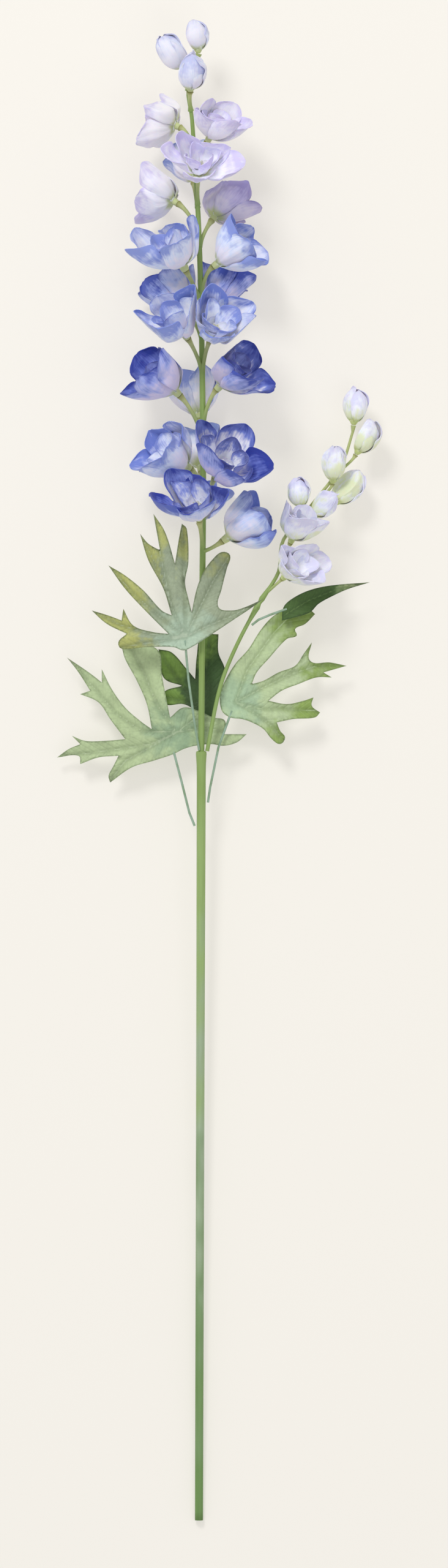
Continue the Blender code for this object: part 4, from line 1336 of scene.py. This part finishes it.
class DELPHINIUM_OT_buds(bpy.types.Operator):
    """Makes the closed buds of the head and of the side spray"""

    bl_idname = "delphinium.buds"
    bl_label = "Buds"

    def execute(self, context):
        make_flowers((*TIP_BUDS, *SHOOT_BUDS), CLOSED_BUD)
        return {"FINISHED"}


class DELPHINIUM_OT_tufts(bpy.types.Operator):
    """Makes the pale tuft in the middle of each open flower of the head"""

    bl_idname = "delphinium.tufts"
    bl_label = "Tufts"

    def execute(self, context):
        model = tuft_model()
        white = tuft_cloth()
        for k, flower in enumerate(BLOOMS):
            origin, forward, up = flower_frame(flower, STEM_ROUTE)
            frame = (origin + forward * (THROAT_LENGTH * flower.length + SEAT_GAP), forward, up)
            piece = placed_copy(model, flower, frame, (), FILAMENT_SWING * k)
            node = flower.name.replace("bloom", "bee")
            finished(piece, node + "_tuft", node, [white])
        bpy.data.objects.remove(model)
        return {"FINISHED"}


class DELPHINIUM_OT_stage(bpy.types.Operator):
    """Lays the pale paper, and sets the lights and the camera above the spike"""

    bl_idname = "delphinium.stage"
    bl_label = "Paper, lights and camera"

    def execute(self, context):
        scene = context.scene
        choose()
        bpy.ops.mesh.primitive_plane_add(size=PAPER_SIZE, location=(0, 0, 0))
        bpy.ops.object.mode_set(mode="EDIT")
        bpy.ops.mesh.subdivide(number_cuts=3)
        bpy.ops.object.mode_set(mode="OBJECT")
        paper = context.object
        paper.name = "studio_paper"
        paper.data.materials.append(studio_paper())

        scene.world = scene.world or bpy.data.worlds.new("studio")
        scene.world.use_nodes = True
        sky = scene.world.node_tree
        sky.nodes.clear()
        (white,) = panel_colours("sky")
        light = add_node(sky, "Background", {"Color": white, "Strength": SKY_STRENGTH})
        add_node(sky, "OutputWorld", {"Surface": light})
        for name, place, size, power in LIGHTS:
            bpy.ops.object.light_add(type="AREA", location=place)
            lamp = context.object
            lamp.name = name
            lamp.data.shape = "DISK"
            lamp.data.size = size
            lamp.data.energy = power
            aim = Vector(LIGHT_AIM) - Vector(place)
            lamp.rotation_euler = aim.to_track_quat("-Z", "Y").to_euler()

        bpy.ops.object.camera_add(location=(*PHOTO_MIDDLE[:2], CAMERA_HEIGHT), rotation=(0, 0, 0))
        camera = context.object
        camera.name = "camera_above"
        camera.data.sensor_width = SENSOR_WIDTH
        camera.data.lens = SENSOR_WIDTH * (CAMERA_HEIGHT - PHOTO_MIDDLE[2]) / PHOTO_HEIGHT
        camera.data.clip_start, camera.data.clip_end = CLIPPING
        scene.camera = camera
        scene.view_settings.view_transform = "Standard"
        return {"FINISHED"}


class DELPHINIUM_PT_panel(bpy.types.Panel):
    """Lists the steps that dress the spike"""

    bl_idname = "DELPHINIUM_PT_panel"
    bl_label = "Delphinium Spike"
    bl_space_type = "VIEW_3D"
    bl_region_type = "UI"
    bl_category = "Delphinium"

    def draw(self, context):
        layout = self.layout
        for step in STEPS:
            layout.operator(step.bl_idname)
        for settings in (context.scene.delphinium_sizes, context.scene.delphinium_colours):
            box = layout.box()
            for name in type(settings).__annotations__:
                box.prop(settings, name)


STEPS = (
    DELPHINIUM_OT_stems,
    DELPHINIUM_OT_leaves,
    DELPHINIUM_OT_flowers,
    DELPHINIUM_OT_tufts,
    DELPHINIUM_OT_buds,
    DELPHINIUM_OT_stage,
)
CLASSES = (DelphiniumSizes, DelphiniumColours, *STEPS, DELPHINIUM_PT_panel)


def register():
    for kind in CLASSES:
        bpy.utils.register_class(kind)
    bpy.types.Scene.delphinium_sizes = PointerProperty(type=DelphiniumSizes)
    bpy.types.Scene.delphinium_colours = PointerProperty(type=DelphiniumColours)


def unregister():
    del bpy.types.Scene.delphinium_colours
    del bpy.types.Scene.delphinium_sizes
    for kind in reversed(CLASSES):
        bpy.utils.unregister_class(kind)


def main():
    register()
    bpy.ops.delphinium.stems()
    bpy.ops.delphinium.leaves()
    bpy.ops.delphinium.flowers()
    bpy.ops.delphinium.tufts()
    bpy.ops.delphinium.buds()
    bpy.ops.delphinium.stage()


if __name__ == "__main__":
    main()
